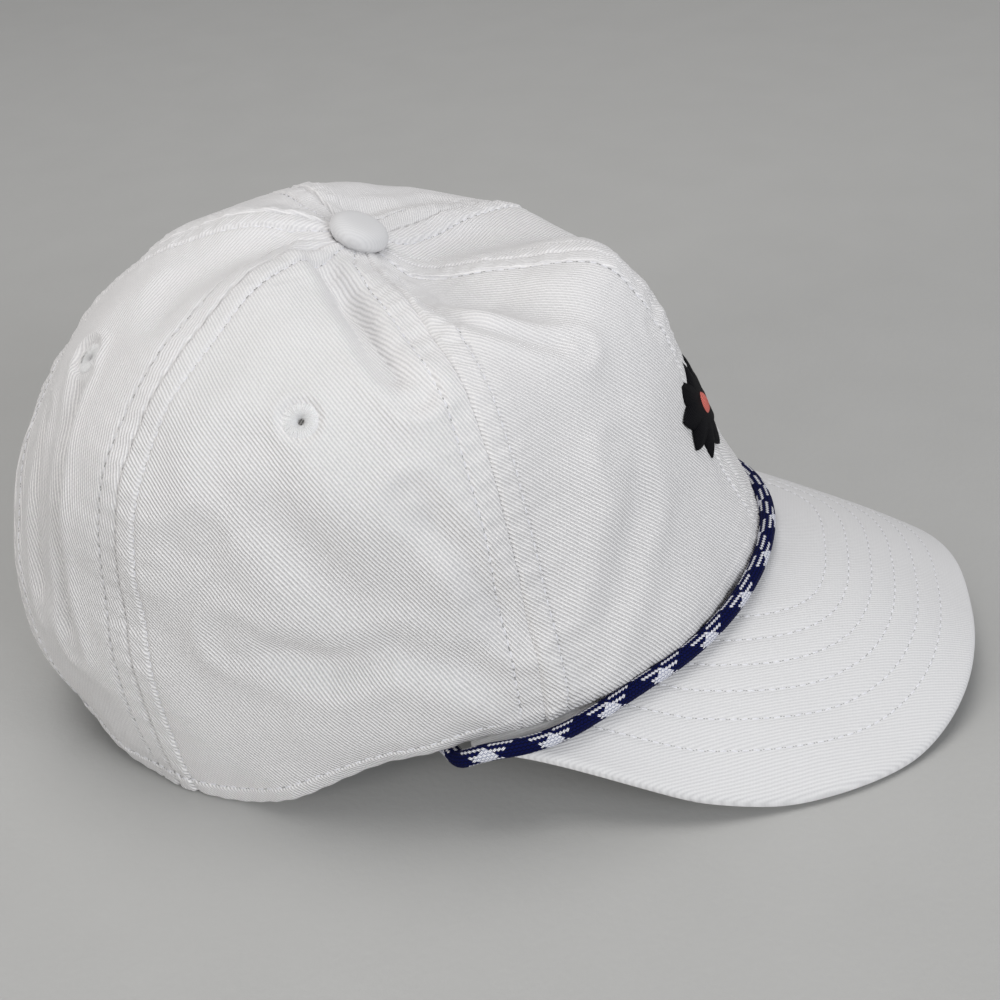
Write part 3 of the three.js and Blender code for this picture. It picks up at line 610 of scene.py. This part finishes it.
for panel in (0, 1, 2):
    dense = np.linspace(0, 1, 65)
    foot_degrees, foot_share = column_foot(panel, dense)
    top_degrees = SEAMS[panel][0] + (SEAMS[panel + 1][0] - SEAMS[panel][0]) * dense
    rows = len(HEM) + UPPER_ROWS
    share_table = np.zeros((rows, 65))
    height_table = np.zeros((rows, 65))
    grain_table = np.zeros((rows, 65))
    for k in range(65):
        tip = share_at_radius(top_degrees[k], TIP_RADIUS)
        share = np.linspace(foot_share[k], tip, 260)
        blend = (share - foot_share[k]) / (1 - foot_share[k])
        arcs = arc_table(foot_degrees[k] + (top_degrees[k] - foot_degrees[k]) * blend, share)
        below = arc_table(np.full(60, foot_degrees[k]), np.linspace(0, foot_share[k], 60))[-1]
        heights = np.concatenate([HEM, HEM[-1] + (arcs[-1] - HEM[-1]) * (np.arange(UPPER_ROWS) + 1) / UPPER_ROWS])
        share_table[:, k] = np.interp(heights, arcs, share)
        height_table[:, k] = heights
        grain_table[:, k] = heights + below
    blend = (share_table - foot_share) / (1 - foot_share)
    degree_table = foot_degrees + (top_degrees - foot_degrees) * blend
    dense_points = crown(degree_table, share_table)
    steps = np.linalg.norm(np.diff(dense_points, axis=1), axis=-1)
    across = np.concatenate([np.zeros((rows, 1)), np.cumsum(steps, axis=1)], 1)
    columns = 2 * len(NEAR) + MIDDLE_COLUMNS
    offset = np.zeros((rows, columns))
    from_far = np.zeros((rows, columns))
    place = np.zeros((rows, columns))
    for i in range(rows):
        width = across[i, -1]
        near = NEAR * min(1.0, width / 2 / (NEAR[-1] + 0.6))
        middle = near[-1] + (width - 2 * near[-1]) * (np.arange(MIDDLE_COLUMNS) + 1) / (MIDDLE_COLUMNS + 1)
        offset[i] = np.concatenate([near, middle, width - near[::-1]])
        from_far[i] = width - offset[i]
        place[i] = np.interp(offset[i], across[i], dense)
    look_up = lambda table: np.stack([np.interp(place[i], dense, table[i]) for i in range(rows)])
    share, degrees, height, grain = (look_up(t) for t in (share_table, degree_table, height_table, grain_table))
    foot = np.interp(place, dense, foot_share)
    for side, sign in (("right", -1), ("left", 1)):
        signed = sign * degrees
        smooth_points = crown(signed, share)
        radius = np.hypot(smooth_points[..., 0], smooth_points[..., 1])
        fit = np.minimum(1, (offset + from_far) / 2 / (NEAR[-1] + 0.6))
        near_swell, far_swell = ((1.0, 1.5), (0.5, 1.3), (0.8, 1.0))[panel]
        relief = seam_relief(offset / fit, grain, radius, near_swell)
        relief = fit * (relief + seam_relief(from_far / fit, grain + 1.3, radius, far_swell))
        on_arch = arch_distance(degrees, share) if panel == 2 else np.full(share.shape, 1e3)
        hem_height = np.where(foot > 0.002, 1e3, height)
        pucker = 0.5 + 0.5 * np.cos(2 * math.pi * offset / STITCH_PITCH)
        sewn = smooth(degrees, 60, 70)
        relief += (0.2 + 0.35 * sewn) * (1 - smooth(hem_height, 5.0, 6.4)) - 0.5 * np.exp(-hem_height / 0.4)
        relief -= sewn * (0.26 + 0.12 * pucker) * np.exp(-((hem_height - HEM_ROW) / 0.4) ** 2)
        hem_ripple = np.sin(2 * math.pi * offset / 6.1 + 2 * np.sin(offset / 13.0))
        relief += 0.14 * hem_ripple * np.exp(-(hem_height / 9.0) ** 2)
        if panel == 2:
            relief += 0.75 * (1 - smooth(on_arch, 8.2, 9.8)) + 0.9 * np.exp(-(np.maximum(on_arch, 0) / 2.2) ** 2)
            relief -= 0.6 * np.exp(-np.maximum(on_arch, 0) / 0.35)
            for row in ARCH_ROWS:
                relief -= 0.40 * np.exp(-((on_arch - row) / 0.45) ** 2)
        calm = smooth(radius, 8, 34)
        relief += calm * (1.9 * noise_field(smooth_points, 36.0, 3.1) + 1.15 * noise_field(smooth_points, 17.0, 8.7))
        relief += calm * 0.10 * noise_field(smooth_points, 5.0, 1.9)
        relief += crease_relief(smooth_points) * smooth(radius, 7, 16)
        rays = np.cos(np.radians(signed) * 22 + 1.3) * np.exp(-((radius - 14) / 9) ** 2)
        relief += 0.2 * rays * (smooth(-np.cos(np.radians(signed)), -0.1, 0.8))
        keep = None
        if (panel, sign) in EYELETS:
            middle_point, middle_normal, _ = EYELETS[(panel, sign)]
            away = np.linalg.norm(smooth_points - middle_point, axis=-1)
            relief -= 1.25 * (1 - smooth(away, EYELET_RADIUS - 0.3, EYELET_RADIUS + 1.4))
            over = smooth((smooth_points[..., 2] - middle_point[2]) / np.maximum(away, 0.1), -0.2, 0.8)
            relief += (0.25 + 0.35 * over) * np.exp(-((away - EYELET_RADIUS - 2.0) / 1.5) ** 2)
            centres = (away[:-1, :-1] + away[1:, 1:]) / 2
            keep = centres > EYELET_RADIUS - 1.6
        outer = wall(signed, share, relief)
        inner = wall(signed, share, np.minimum(relief, 0) * 0.3 - CLOTH)
        outer[..., 2] = np.maximum(outer[..., 2], 0.0)
        inner[..., 2] = np.maximum(inner[..., 2], 0.0)
        on_hem = foot[0] < 0.002
        level = outer[0, :, :].copy()
        inward = unit(np.stack([-level[:, 0], -level[:, 1], np.zeros(columns)], -1))
        inner[0] = np.where(on_hem[:, None], level + inward * CLOTH, inner[0])
        grids = (outer, inner) if sign > 0 else (outer[:, ::-1], inner[:, ::-1])
        kept = keep if keep is None or sign > 0 else keep[:, ::-1]
        points, faces = slab(*grids, kept)
        uv = weave_on(smooth_points, sign * (SEAMS[panel][0] + SEAMS[panel + 1][0]) / 2, GRAIN[panel])
        uv = uv if sign > 0 else uv[:, ::-1]
        uv = np.concatenate([uv.reshape(-1, 2)] * 2)
        name = PANEL_NAMES[panel] + "_" + side
        make_mesh("twill_" + name[6:], points, faces, TWILL, uv, [name])
        normals = crown_normal(signed, share)
        row_column = int(np.argmin(abs(NEAR - SEAM_ROW)))
        for column in (row_column, columns - 1 - row_column):
            start = 12 if foot[0, column] < 0.002 else 18
            sewing.row(outer[start:, column], normals[start:, column])
        hem_row = int(np.argmin(abs(HEM - HEM_ROW)))
        part = np.where((foot[0] < 0.002) & (offset[0] > 0.3) & (degrees[hem_row] > 64))[0]
        if panel == 2:
            part = part[on_arch[hem_row, part] > 2.0]
        if len(part):
            sewing.row(outer[hem_row, part], normals[hem_row, part])
        if panel == 2:
            for row in ARCH_ROWS:
                turn = np.linspace(0.02, math.pi / 2 - 0.02, 60)
                hem_scale = 1 + row / ARCH_HALF_WIDTH
                rise_scale = 1 + row / ARCH_HEIGHT
                arch_degrees = sign * (180 - ARCH_ANGLE * hem_scale * np.sin(turn))
                arch_share = ARCH_SHARE * rise_scale * np.cos(turn)
                path = wall(arch_degrees, arch_share)
                sewing.row(*lay_on(surface_tree(outer), path, crown_normal(arch_degrees, arch_share)))

# Peak

def peak_root(place):
    rim = crown(place * PEAK_CORNER_ANGLE, 0.0)
    inward = unit(np.stack([-rim[..., 0], -rim[..., 1], 0 * rim[..., 0]], -1))
    return rim + inward * CLOTH - np.array([0, 0, GAP])


def peak_edge(place):
    turn = place * math.pi / 2
    across = np.sign(place) * np.abs(np.sin(turn)) ** PEAK_WIDTH_POWER * PEAK_HALF_WIDTH
    ahead = np.maximum(np.cos(turn), 0) ** PEAK_LENGTH_POWER * (PEAK_TIP_REACH - PEAK_CORNER_REACH)
    heights = np.array([PEAK_EDGE_HEIGHTS[1], *PEAK_EDGE_HEIGHTS, 2 * PEAK_EDGE_HEIGHTS[-1] - PEAK_EDGE_HEIGHTS[-2]])
    spot = np.abs(place) * (len(PEAK_EDGE_HEIGHTS) - 1)
    first = np.minimum(np.floor(spot).astype(int), len(PEAK_EDGE_HEIGHTS) - 2)
    share = np.einsum("...k,...k->...", spline_weights(spot - first), heights[first[..., None] + np.arange(4)])
    free = np.stack([across, -PEAK_CORNER_REACH - ahead, rest_on_table(share * PEAK_TIP_HEIGHT) + PEAK_THICKNESS], -1)
    root = peak_root(place)
    outward = unit(np.stack([root[..., 0], root[..., 1], 0 * root[..., 0]], -1))
    corner = root + outward * (CLOTH + PEAK_CORNER_WIDTH)
    w = smooth(np.abs(place), 0.8, 1)[..., None]
    return free * (1 - w) + corner * w


def peak_top(place, share):
    place, share = np.broadcast_arrays(np.asarray(place, float), np.asarray(share, float))
    point = peak_root(place) * (1 - share[..., None]) + peak_edge(place) * share[..., None]
    point = point.copy()
    point[..., 2] += PEAK_CROWN * 4 * share * (1 - share) * np.cos(place * math.pi / 2)
    return point


edge_place = np.sin(np.linspace(-math.pi / 2, math.pi / 2, 400)) * 0.35 + np.linspace(-1, 1, 400) * 0.65
edge_line = peak_edge(edge_place)
edge_plan = edge_line * np.array([1, 1, 0])
peak_columns, peak_rows = 300, 120
places = np.interp(np.linspace(0, 1, peak_columns), np.linspace(0, 1, 400), edge_place)
shares = np.concatenate([np.linspace(0, 0.97, peak_rows - 10, endpoint=False), np.linspace(0.97, 1, 10)])
top = peak_top(places[:, None], shares[None, :])
plan = top * np.array([1, 1, 0])
from_edge = path_distance(plan, edge_plan[::3])
peak_relief = np.zeros(from_edge.shape)
for k in range(PEAK_ROW_COUNT):
    row = PEAK_ROW_FIRST + k * PEAK_ROW_PITCH
    peak_relief -= 0.34 * np.exp(-((from_edge - row) / 0.85) ** 2)
peak_relief += 0.12 * noise_field(top, 21.0, 5.5)
round_off = 1.15 * (1 - np.sqrt(np.clip(1 - (1 - np.minimum(from_edge, 1.5) / 1.5) ** 2, 0, 1)))
upper = top.copy()
upper[..., 2] += peak_relief - round_off
lower = top.copy()
lower[..., 2] += -PEAK_THICKNESS - peak_relief * 0.8 + round_off
lower[..., 2] = np.maximum(lower[..., 2], 0.0)
points, faces = slab(upper.transpose(1, 0, 2), lower.transpose(1, 0, 2))
wale = unit(np.array([-0.388, 0.922]))
peak_uv = np.stack([top[..., 0] * wale[1] - top[..., 1] * wale[0], top[..., :2] @ wale], -1).transpose(1, 0, 2)
make_mesh("twill_peak", points, faces[:, ::-1], SHADED_TWILL, np.concatenate([peak_uv.reshape(-1, 2)] * 2), ["peak"])


upper_tree, lower_tree = surface_tree(upper), surface_tree(lower)
hem_line = crown(np.linspace(-PEAK_CORNER_ANGLE, PEAK_CORNER_ANGLE, 120), 0.0) * np.array([1, 1, 0])
plan_tangent = unit(np.gradient(edge_plan, axis=0))
plan_inward = np.stack([-plan_tangent[:, 1], plan_tangent[:, 0], 0 * plan_tangent[:, 0]], -1)
peak_sewing = Sewing()
for k in range(PEAK_ROW_COUNT):
    row = PEAK_ROW_FIRST + k * PEAK_ROW_PITCH
    line = edge_plan + plan_inward * row
    true_row = path_distance(line, edge_plan)
    outside = np.hypot(line[:, 0] / 80.5, line[:, 1] / 106) > 1
    good = (true_row > row - 0.4) & (path_distance(line, hem_line) > 2.5) & outside
    for tree, direction, flip in ((upper_tree, -1, 1), (lower_tree, 1, -1)):
        path, normals = [], []
        for p in line[good]:
            hit = tree.ray_cast(Vector((p[0], p[1], 200.0 if direction < 0 else -50.0)), Vector((0, 0, direction)))
            if hit[0] is None:
                continue
            n = np.array(hit[1]) * (1 if hit[1].z * flip > 0 else -1)
            path.append(np.array(hit[0]))
            normals.append(n)
        if len(path) > 4:
            peak_sewing.row(np.array(path), np.array(normals), pitch=2.9, hole_shade_radius=0.22)

sewing.build("crown_stitching", [THREAD, HOLE_SHADE])
peak_sewing.build("peak_stitching", [THREAD, HOLE_SHADE])

# Rope

rope_reach = ROPE_RADIUS + ROPE_GAP
crease_width = 6 * ROPE_RADIUS
crease = []
for place in np.linspace(-1, 1, 161):
    place = np.array(place)
    whole = np.linalg.norm(peak_root(place) - peak_edge(place))
    crease.extend(peak_top(place, min(1, crease_width / whole) * i / 12) for i in range(13))
    if whole <= crease_width:
        crease.extend(peak_edge(place) - np.array([0, 0, PEAK_THICKNESS * i / 3]) for i in (1, 2, 3))
crease = np.array(crease)


def rope_centre(degrees):
    turn = abs(degrees)
    past = (turn - PEAK_CORNER_ANGLE) / ROPE_OVERRUN
    back = ROPE_RETURN * float(smooth(turn, ROPE_FAR_ANGLE, PEAK_CORNER_ANGLE))
    stray = ROPE_STRAY * float(smooth(turn, ROPE_STRAY_ANGLE, ROPE_FAR_ANGLE)) * (1 - back)

    def beside(height):
        return wall(degrees, share_at_height(degrees, height), rope_reach + stray)

    low, high = 0.0, 4 * ROPE_RADIUS
    for _ in range(16):
        middle = (low + high) / 2
        if np.linalg.norm(crease - beside(middle), axis=1).min() >= rope_reach:
            high = middle
        else:
            low = middle
    if past <= 0:
        return beside(high)
    roll = float(smooth(past, 0.3, 0.8)) * math.pi / 2
    foot = wall(degrees, 0.0)
    outward = unit(foot * np.array([1, 1, 0]))
    foot = foot + outward * ((rope_reach + stray) * math.cos(roll) - ROPE_TUCK * float(smooth(past, 0.5, 1)))
    foot = foot - np.array([0, 0, (rope_reach + ROPE_DROP) * math.sin(roll)])
    w = float(smooth(past, 0, 0.5))
    return beside(high) * (1 - w) + foot * w


rope_end = PEAK_CORNER_ANGLE + ROPE_OVERRUN
path = np.array([rope_centre(a) for a in np.linspace(-rope_end, rope_end, 145)])
along = np.concatenate([[0.0], np.cumsum(np.linalg.norm(np.diff(path, axis=0), axis=-1))])
rings = 1080
at = np.linspace(0, along[-1], rings)
centre = np.stack([np.interp(at, along, path[:, k]) for k in range(3)], -1)
for _ in range(110):
    centre[1:-1] = (centre[:-2] + 2 * centre[1:-1] + centre[2:]) / 4
tangent = unit(np.gradient(centre, axis=0))
side = unit(np.cross(tangent, np.array([0, 0, 1.0])))
above = np.cross(side, tangent)
rope_sides = 72
turn = np.linspace(0, 2 * math.pi, rope_sides + 1)
cells_u = (at - BRAID_START) / BRAID_PITCH * BRAID_CARRIERS
cells_v = (turn - BRAID_TURN) / (2 * math.pi) * BRAID_CARRIERS
a_cell = cells_v[None, :] - cells_u[:, None]
b_cell = cells_v[None, :] + cells_u[:, None]
a_over = (np.floor(a_cell) + np.floor(b_cell)) % 4 < 2
across_strand = np.where(a_over, a_cell % 1, b_cell % 1)
along_strand = np.where(a_over, (b_cell + np.floor(a_cell)) % 4 / 2, ((a_cell + np.floor(b_cell)) % 4 - 2) / 2)
knot = np.sqrt(np.abs(np.sin(math.pi * across_strand) * np.sin(math.pi * along_strand)))
radius = ROPE_RADIUS - 0.04 + 0.08 * knot
ring = side[:, None] * np.cos(turn)[None, :, None] + above[:, None] * np.sin(turn)[None, :, None]
tube = centre[:, None] + ring * radius[..., None]
rope_uv = np.stack(np.broadcast_arrays(cells_u[:, None], cells_v[None, :]), -1)
points = tube.reshape(-1, 3)
faces = grid_faces(rings, rope_sides + 1, flip=True).tolist()
points = np.concatenate([points, centre[:1], centre[-1:]])
rope_uv = np.concatenate([rope_uv.reshape(-1, 2), [[0, 0], [cells_u[-1], 0]]])
width = rope_sides + 1
for k in range(rope_sides):
    faces.append([len(points) - 2, k, k + 1])
    faces.append([len(points) - 1, (rings - 1) * width + k + 1, (rings - 1) * width + k])


def braid_material():
    """A round braid whose strands pass over two and under two; some carriers in each direction are white."""
    m = Nodes("rope_braid")
    s, t = m.uv()
    a, b = m.math("SUBTRACT", t, s), m.math("ADD", t, s)
    ia, ib = m.math("FLOOR", a), m.math("FLOOR", b)
    a_over = m.math("LESS_THAN", m.math("FLOORED_MODULO", m.math("ADD", ia, ib), 4.0), 1.5)

    def choose(when_a, when_b):
        return m.math("MULTIPLY_ADD", a_over, m.math("SUBTRACT", when_a, when_b), when_b)

    carriers = float(BRAID_CARRIERS)
    white = m.math("LESS_THAN", m.math("FLOORED_MODULO", choose(ia, ib), carriers), BRAID_WHITE - 0.5)
    white_under = m.math("LESS_THAN", m.math("FLOORED_MODULO", choose(ib, ia), carriers), BRAID_WHITE - 0.5)
    across = choose(m.math("FRACT", a), m.math("FRACT", b))
    along_a = m.math("FLOORED_MODULO", m.math("ADD", b, ia), 4.0)
    along_b = m.math("SUBTRACT", m.math("FLOORED_MODULO", m.math("ADD", a, ib), 4.0), 2.0)
    lengthwise = m.math("MULTIPLY", choose(along_a, along_b), math.pi / 2)
    yarn = m.math("ABSOLUTE", m.math("SINE", m.math("MULTIPLY", across, 2 * math.pi)))
    knot = m.math("MULTIPLY", yarn, m.math("ABSOLUTE", m.math("SINE", lengthwise)))
    height = m.math("POWER", knot, 0.5)
    height = m.math("ADD", height, m.math("MULTIPLY", m.noise(2400.0, 2.0), 0.2))
    # The strands darken towards their edges and ends, and there the strand beneath shows, grey where it is white and
    # deep navy where it is navy: painted shade between the strands.
    edge = m.math("MULTIPLY_ADD", knot, 1.9, -0.30)
    edge.node.use_clamp = True
    edge_shaded_navy = m.mix(edge, (0.0003, 0.0006, 0.008), (0.0016, 0.005, 0.070))
    shaded_gap = m.mix(white_under, (0.002, 0.005, 0.06), (0.30, 0.32, 0.42))
    colour = m.mix(white, edge_shaded_navy, m.mix(edge, shaded_gap, (0.90, 0.90, 0.93)))
    return m.finish(colour, 0.6, height, 0.00012, 1.0, specular=0.08)


make_mesh("braided_rope", points, faces, braid_material(), rope_uv, ["rope"])

# Button

seat_ring = []
for k in range(24):
    degrees = k * 15.0 - 180
    seat_ring.append(crown(degrees, share_at_radius(degrees, BUTTON_RADIUS)))
seat_ring = np.array(seat_ring)
seat_middle = seat_ring.mean(0)
seat_normal = unit(np.cross(seat_ring - seat_middle, np.roll(seat_ring, -1, axis=0) - seat_middle).sum(0))
seat_rise = ((seat_ring - seat_middle) @ seat_normal).max()
seat = seat_middle + seat_normal * (seat_rise + GAP)


def axes_on(normal):
    """Two directions across a normal, the second one as upright as can be."""
    side_axis = unit(np.cross(np.array([0, 0, 1.0]) if abs(normal[2]) < 0.95 else np.array([0, 1.0, 0]), normal))
    return side_axis, np.cross(normal, side_axis)


def lathe(profile, segments, origin, normal, ripple=None):
    """Points, faces and flat coordinates of a turned piece; ripple(radius index, angle) adds to the height."""
    across_axis, up_axis = axes_on(normal)
    angles = np.arange(segments) * 2 * math.pi / segments
    rows_out, flats = [], []
    for index, (radius, height) in enumerate(profile):
        lift = height + (ripple(index, angles) if ripple else 0 * angles)
        flat = np.stack([radius * np.cos(angles), radius * np.sin(angles)], -1)
        rows_out.append(origin + flat[:, :1] * across_axis + flat[:, 1:] * up_axis + lift[:, None] * normal)
        flats.append(flat)
    made = []
    for r in range(len(profile) - 1):
        for k in range(segments):
            n = (k + 1) % segments
            made.append((r * segments + k, r * segments + n, (r + 1) * segments + n, (r + 1) * segments + k))
    return np.concatenate(rows_out), made, np.concatenate(flats)


profile = [(0.4, -1.7), (BUTTON_RADIUS * 0.80, -1.7), (BUTTON_RADIUS * 0.90, -0.8), (BUTTON_RADIUS * 0.97, 0.0)]
for k in range(31):
    turn_k = k / 30 * math.pi / 2
    height_k = BUTTON_HEIGHT * (0.16 + 0.84 * math.sin(turn_k) ** 0.9)
    profile.append((max(0.05, BUTTON_RADIUS * math.cos(turn_k) ** 0.62), height_k))


def button_ripple(index, angles):
    amount = 0.10 if index in (2, 3, 4) else 0.0
    return amount * np.cos(angles * 22)


points, faces, flats = lathe(profile, 88, seat, seat_normal, button_ripple)
make_mesh("covered_button", points, faces, SHADED_TWILL, flats, ["button"])

# Eyelets: radial satin stitches that roll into the hole

EYELET_THREAD = thread_material("eyelet_thread", (0.88, 0.88, 0.875), (0.60, 0.60, 0.61), 0.00012)
for (panel, sign), (centre_point, normal, _) in EYELETS.items():
    outline = [
        (EYELET_RADIUS + 0.25, -1.5), (EYELET_RADIUS, -1.0), (EYELET_RADIUS * 0.88, -0.62), (EYELET_RADIUS * 0.7, -0.42),
        (EYELET_RADIUS * 0.52, -0.48), (EYELET_RADIUS * 0.38, -0.72), (EYELET_HOLE + 0.2, -1.15), (EYELET_HOLE, -1.7),
        (EYELET_HOLE + 0.2, -2.2), (EYELET_RADIUS * 0.7, -2.3), (EYELET_RADIUS + 0.2, -1.9), (EYELET_RADIUS + 0.25, -1.5),
    ]
    rng = np.random.default_rng(panel * 10 + sign)
    jitter = rng.normal(0, 0.08, 40)

    def threads(index, angles):
        if index > 6:
            return 0 * angles
        which = np.floor(angles / (2 * math.pi) * 40).astype(int) % 40
        return 0.26 * np.abs(np.sin(angles * 20)) + jitter[which] * (1.0 if index < 4 else 0.4)

    points, faces, flats = lathe(outline, 240, centre_point, normal, threads)
    side_name = "right" if sign < 0 else "left"
    node = ("eyelet_side_" if panel == 1 else "eyelet_back_") + side_name
    make_mesh("sewn_" + node, points, faces, EYELET_THREAD, flats, [node])

# Emblem

front_middle = crown(0.0, EMBLEM_SHARE)
share_length = np.linalg.norm(crown(0.0, EMBLEM_SHARE + 0.02) - front_middle) / 0.02


def front_point(across, rise, height):
    degrees = np.degrees(across / abs(front_middle[1]))
    return wall(degrees, EMBLEM_SHARE + rise / share_length, height)


def satin(name, light, dark):
    m = Nodes(name)
    u, v = m.uv()
    fine = m.noise(1800.0, 2.0)
    lines = m.math("SINE", m.math("MULTIPLY", m.math("ADD", u, m.math("MULTIPLY", fine, 0.06)), 2 * math.pi / 0.42))
    colour = m.mix(m.math("MULTIPLY_ADD", lines, 0.5, 0.5), dark, light)
    return m.finish(colour, 0.6, m.math("MULTIPLY_ADD", lines, 0.5, 0.5), 0.00016, 1.0, specular=0.05)


def pad(name, radius_at, base, thick, material, node, rings=22, segments=240):
    angles = np.arange(segments) * 2 * math.pi / segments
    edge = radius_at(angles)
    rows_out, uvs = [], []
    levels = [(t, 1 - (t ** 5)) for t in np.linspace(0.02, 1, rings)] + [(1.0, -0.4)]
    for t, lift in levels:
        x, y = edge[0] * t, edge[1] * t
        rows_out.append(front_point(x, y, base + thick * lift))
        uvs.append(np.stack([y, x], -1))
    made = []
    for r in range(len(levels) - 1):
        for k in range(segments):
            n = (k + 1) % segments
            made.append((r * segments + k, (r + 1) * segments + k, (r + 1) * segments + n, r * segments + n))
    made.append(tuple(range(segments)))
    return make_mesh(name, np.concatenate(rows_out), made, material, np.concatenate(uvs), [node])


def sun_edge(angles):
    step = math.pi / EMBLEM_RAYS
    saw = np.abs(((angles - math.pi / 2) / step) % 2 - 1)
    inset = RAY_LENGTH * (1 - saw)
    inset = np.where(inset > 0, inset, 0)
    return (EMBLEM_HALF_WIDTH - inset) * np.cos(angles), (EMBLEM_HALF_HEIGHT - inset) * np.sin(angles)


BLACK = satin("black_satin_stitch", (0.010, 0.010, 0.012), (0.002, 0.002, 0.003))
CORAL = satin("coral_satin_stitch", (0.80, 0.24, 0.20), (0.52, 0.11, 0.09))
pad("satin_sun", sun_edge, 0.1, 1.3, BLACK, "emblem_sun")
pad("satin_dot", lambda t: (DOT_RADIUS * np.cos(t), DOT_RADIUS * np.sin(t)), 1.2, 1.0, CORAL, "emblem_dot", 10, 60)


# Sweatband and strap keep their solids

def band_material():
    m = Nodes("sweatband_cloth")
    place_node = m.place()
    weave = m.noise(900.0, 3.0, 0.6, place_node)
    colour = m.mix(weave, (0.66, 0.66, 0.69), (0.80, 0.80, 0.82))
    return m.finish(colour, 0.92, weave, 0.00012, 1.0, sheen=0.1)


def plastic_material():
    m = Nodes("strap_plastic")
    grain = m.noise(700.0, 3.0, 0.55)
    colour = m.mix(grain, (0.78, 0.78, 0.80), (0.84, 0.84, 0.86))
    return m.finish(colour, 0.42, grain, 0.00004, 1.0, specular=0.5)


for node, material in (("sweatband", band_material()), ("back_strap", plastic_material())):
    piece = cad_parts[node]
    piece.data.materials.clear()
    piece.data.materials.append(material)

# Floor, light and camera

floor_mesh = bpy.data.meshes.new("floor")
floor_mesh.from_pydata([(-6, -6, 0), (6, -6, 0), (6, 6, 0), (-6, 6, 0)], [], [(0, 1, 2, 3)])
floor = bpy.data.objects.new("floor", floor_mesh)
bpy.context.scene.collection.objects.link(floor)
floor.location.z = -0.0004
m = Nodes("floor_paint")
floor_mesh.materials.append(m.finish(m.mix(m.noise(30.0), (0.44, 0.44, 0.43), (0.47, 0.47, 0.46)), 0.7, m.noise(500.0), 0.0001))


def area_light(name, place, target, size, power, colour=(1, 1, 1)):
    data = bpy.data.lights.new(name, "AREA")
    data.shape = "RECTANGLE"
    data.size, data.size_y = size
    data.energy = power
    data.color = colour
    lamp = bpy.data.objects.new(name, data)
    lamp.location = place
    lamp.rotation_mode = "QUATERNION"
    lamp.rotation_quaternion = (Vector(target) - Vector(place)).to_track_quat("-Z", "Y")
    bpy.context.scene.collection.objects.link(lamp)


area_light("key", (0.15, 0.15, 1.5), (0, 0, 0.05), (0.9, 0.9), 9.5, (1.0, 0.985, 0.965))
area_light("fill", (-1.2, -1.3, 0.7), (0, 0, 0.06), (1.1, 0.8), 19, (0.95, 0.97, 1.0))
area_light("back", (-1.3, 1.2, 0.6), (0, 0, 0.06), (0.6, 0.6), 10, (1.0, 0.985, 0.955))

bpy.context.scene.view_settings.view_transform = "Standard"
world = bpy.data.worlds.new("room")
bpy.context.scene.world = world
world.use_nodes = True
world.node_tree.nodes["Background"].inputs[0].default_value = (0.84, 0.84, 0.86, 1)
world.node_tree.nodes["Background"].inputs[1].default_value = 0.34

yaw, pitch, roll = math.radians(8.7), math.radians(-31.4), math.radians(-5.2)
forward = Vector((math.cos(pitch) * math.cos(yaw), math.cos(pitch) * math.sin(yaw), math.sin(pitch)))
right = forward.cross(Vector((0, 0, 1))).normalized()
upward = right.cross(forward)
right2 = math.cos(roll) * right + math.sin(roll) * upward
up2 = -math.sin(roll) * right + math.cos(roll) * upward
camera_data = bpy.data.cameras.new("camera")
camera_data.lens = 59.18
camera_data.sensor_width = 36.0
camera = bpy.data.objects.new("camera", camera_data)
camera.matrix_world = Matrix((
    (right2.x, up2.x, -forward.x, -0.395),
    (right2.y, up2.y, -forward.y, -0.0612),
    (right2.z, up2.z, -forward.z, 0.2898),
    (0, 0, 0, 1),
))
bpy.context.scene.collection.objects.link(camera)
bpy.context.scene.camera = camera
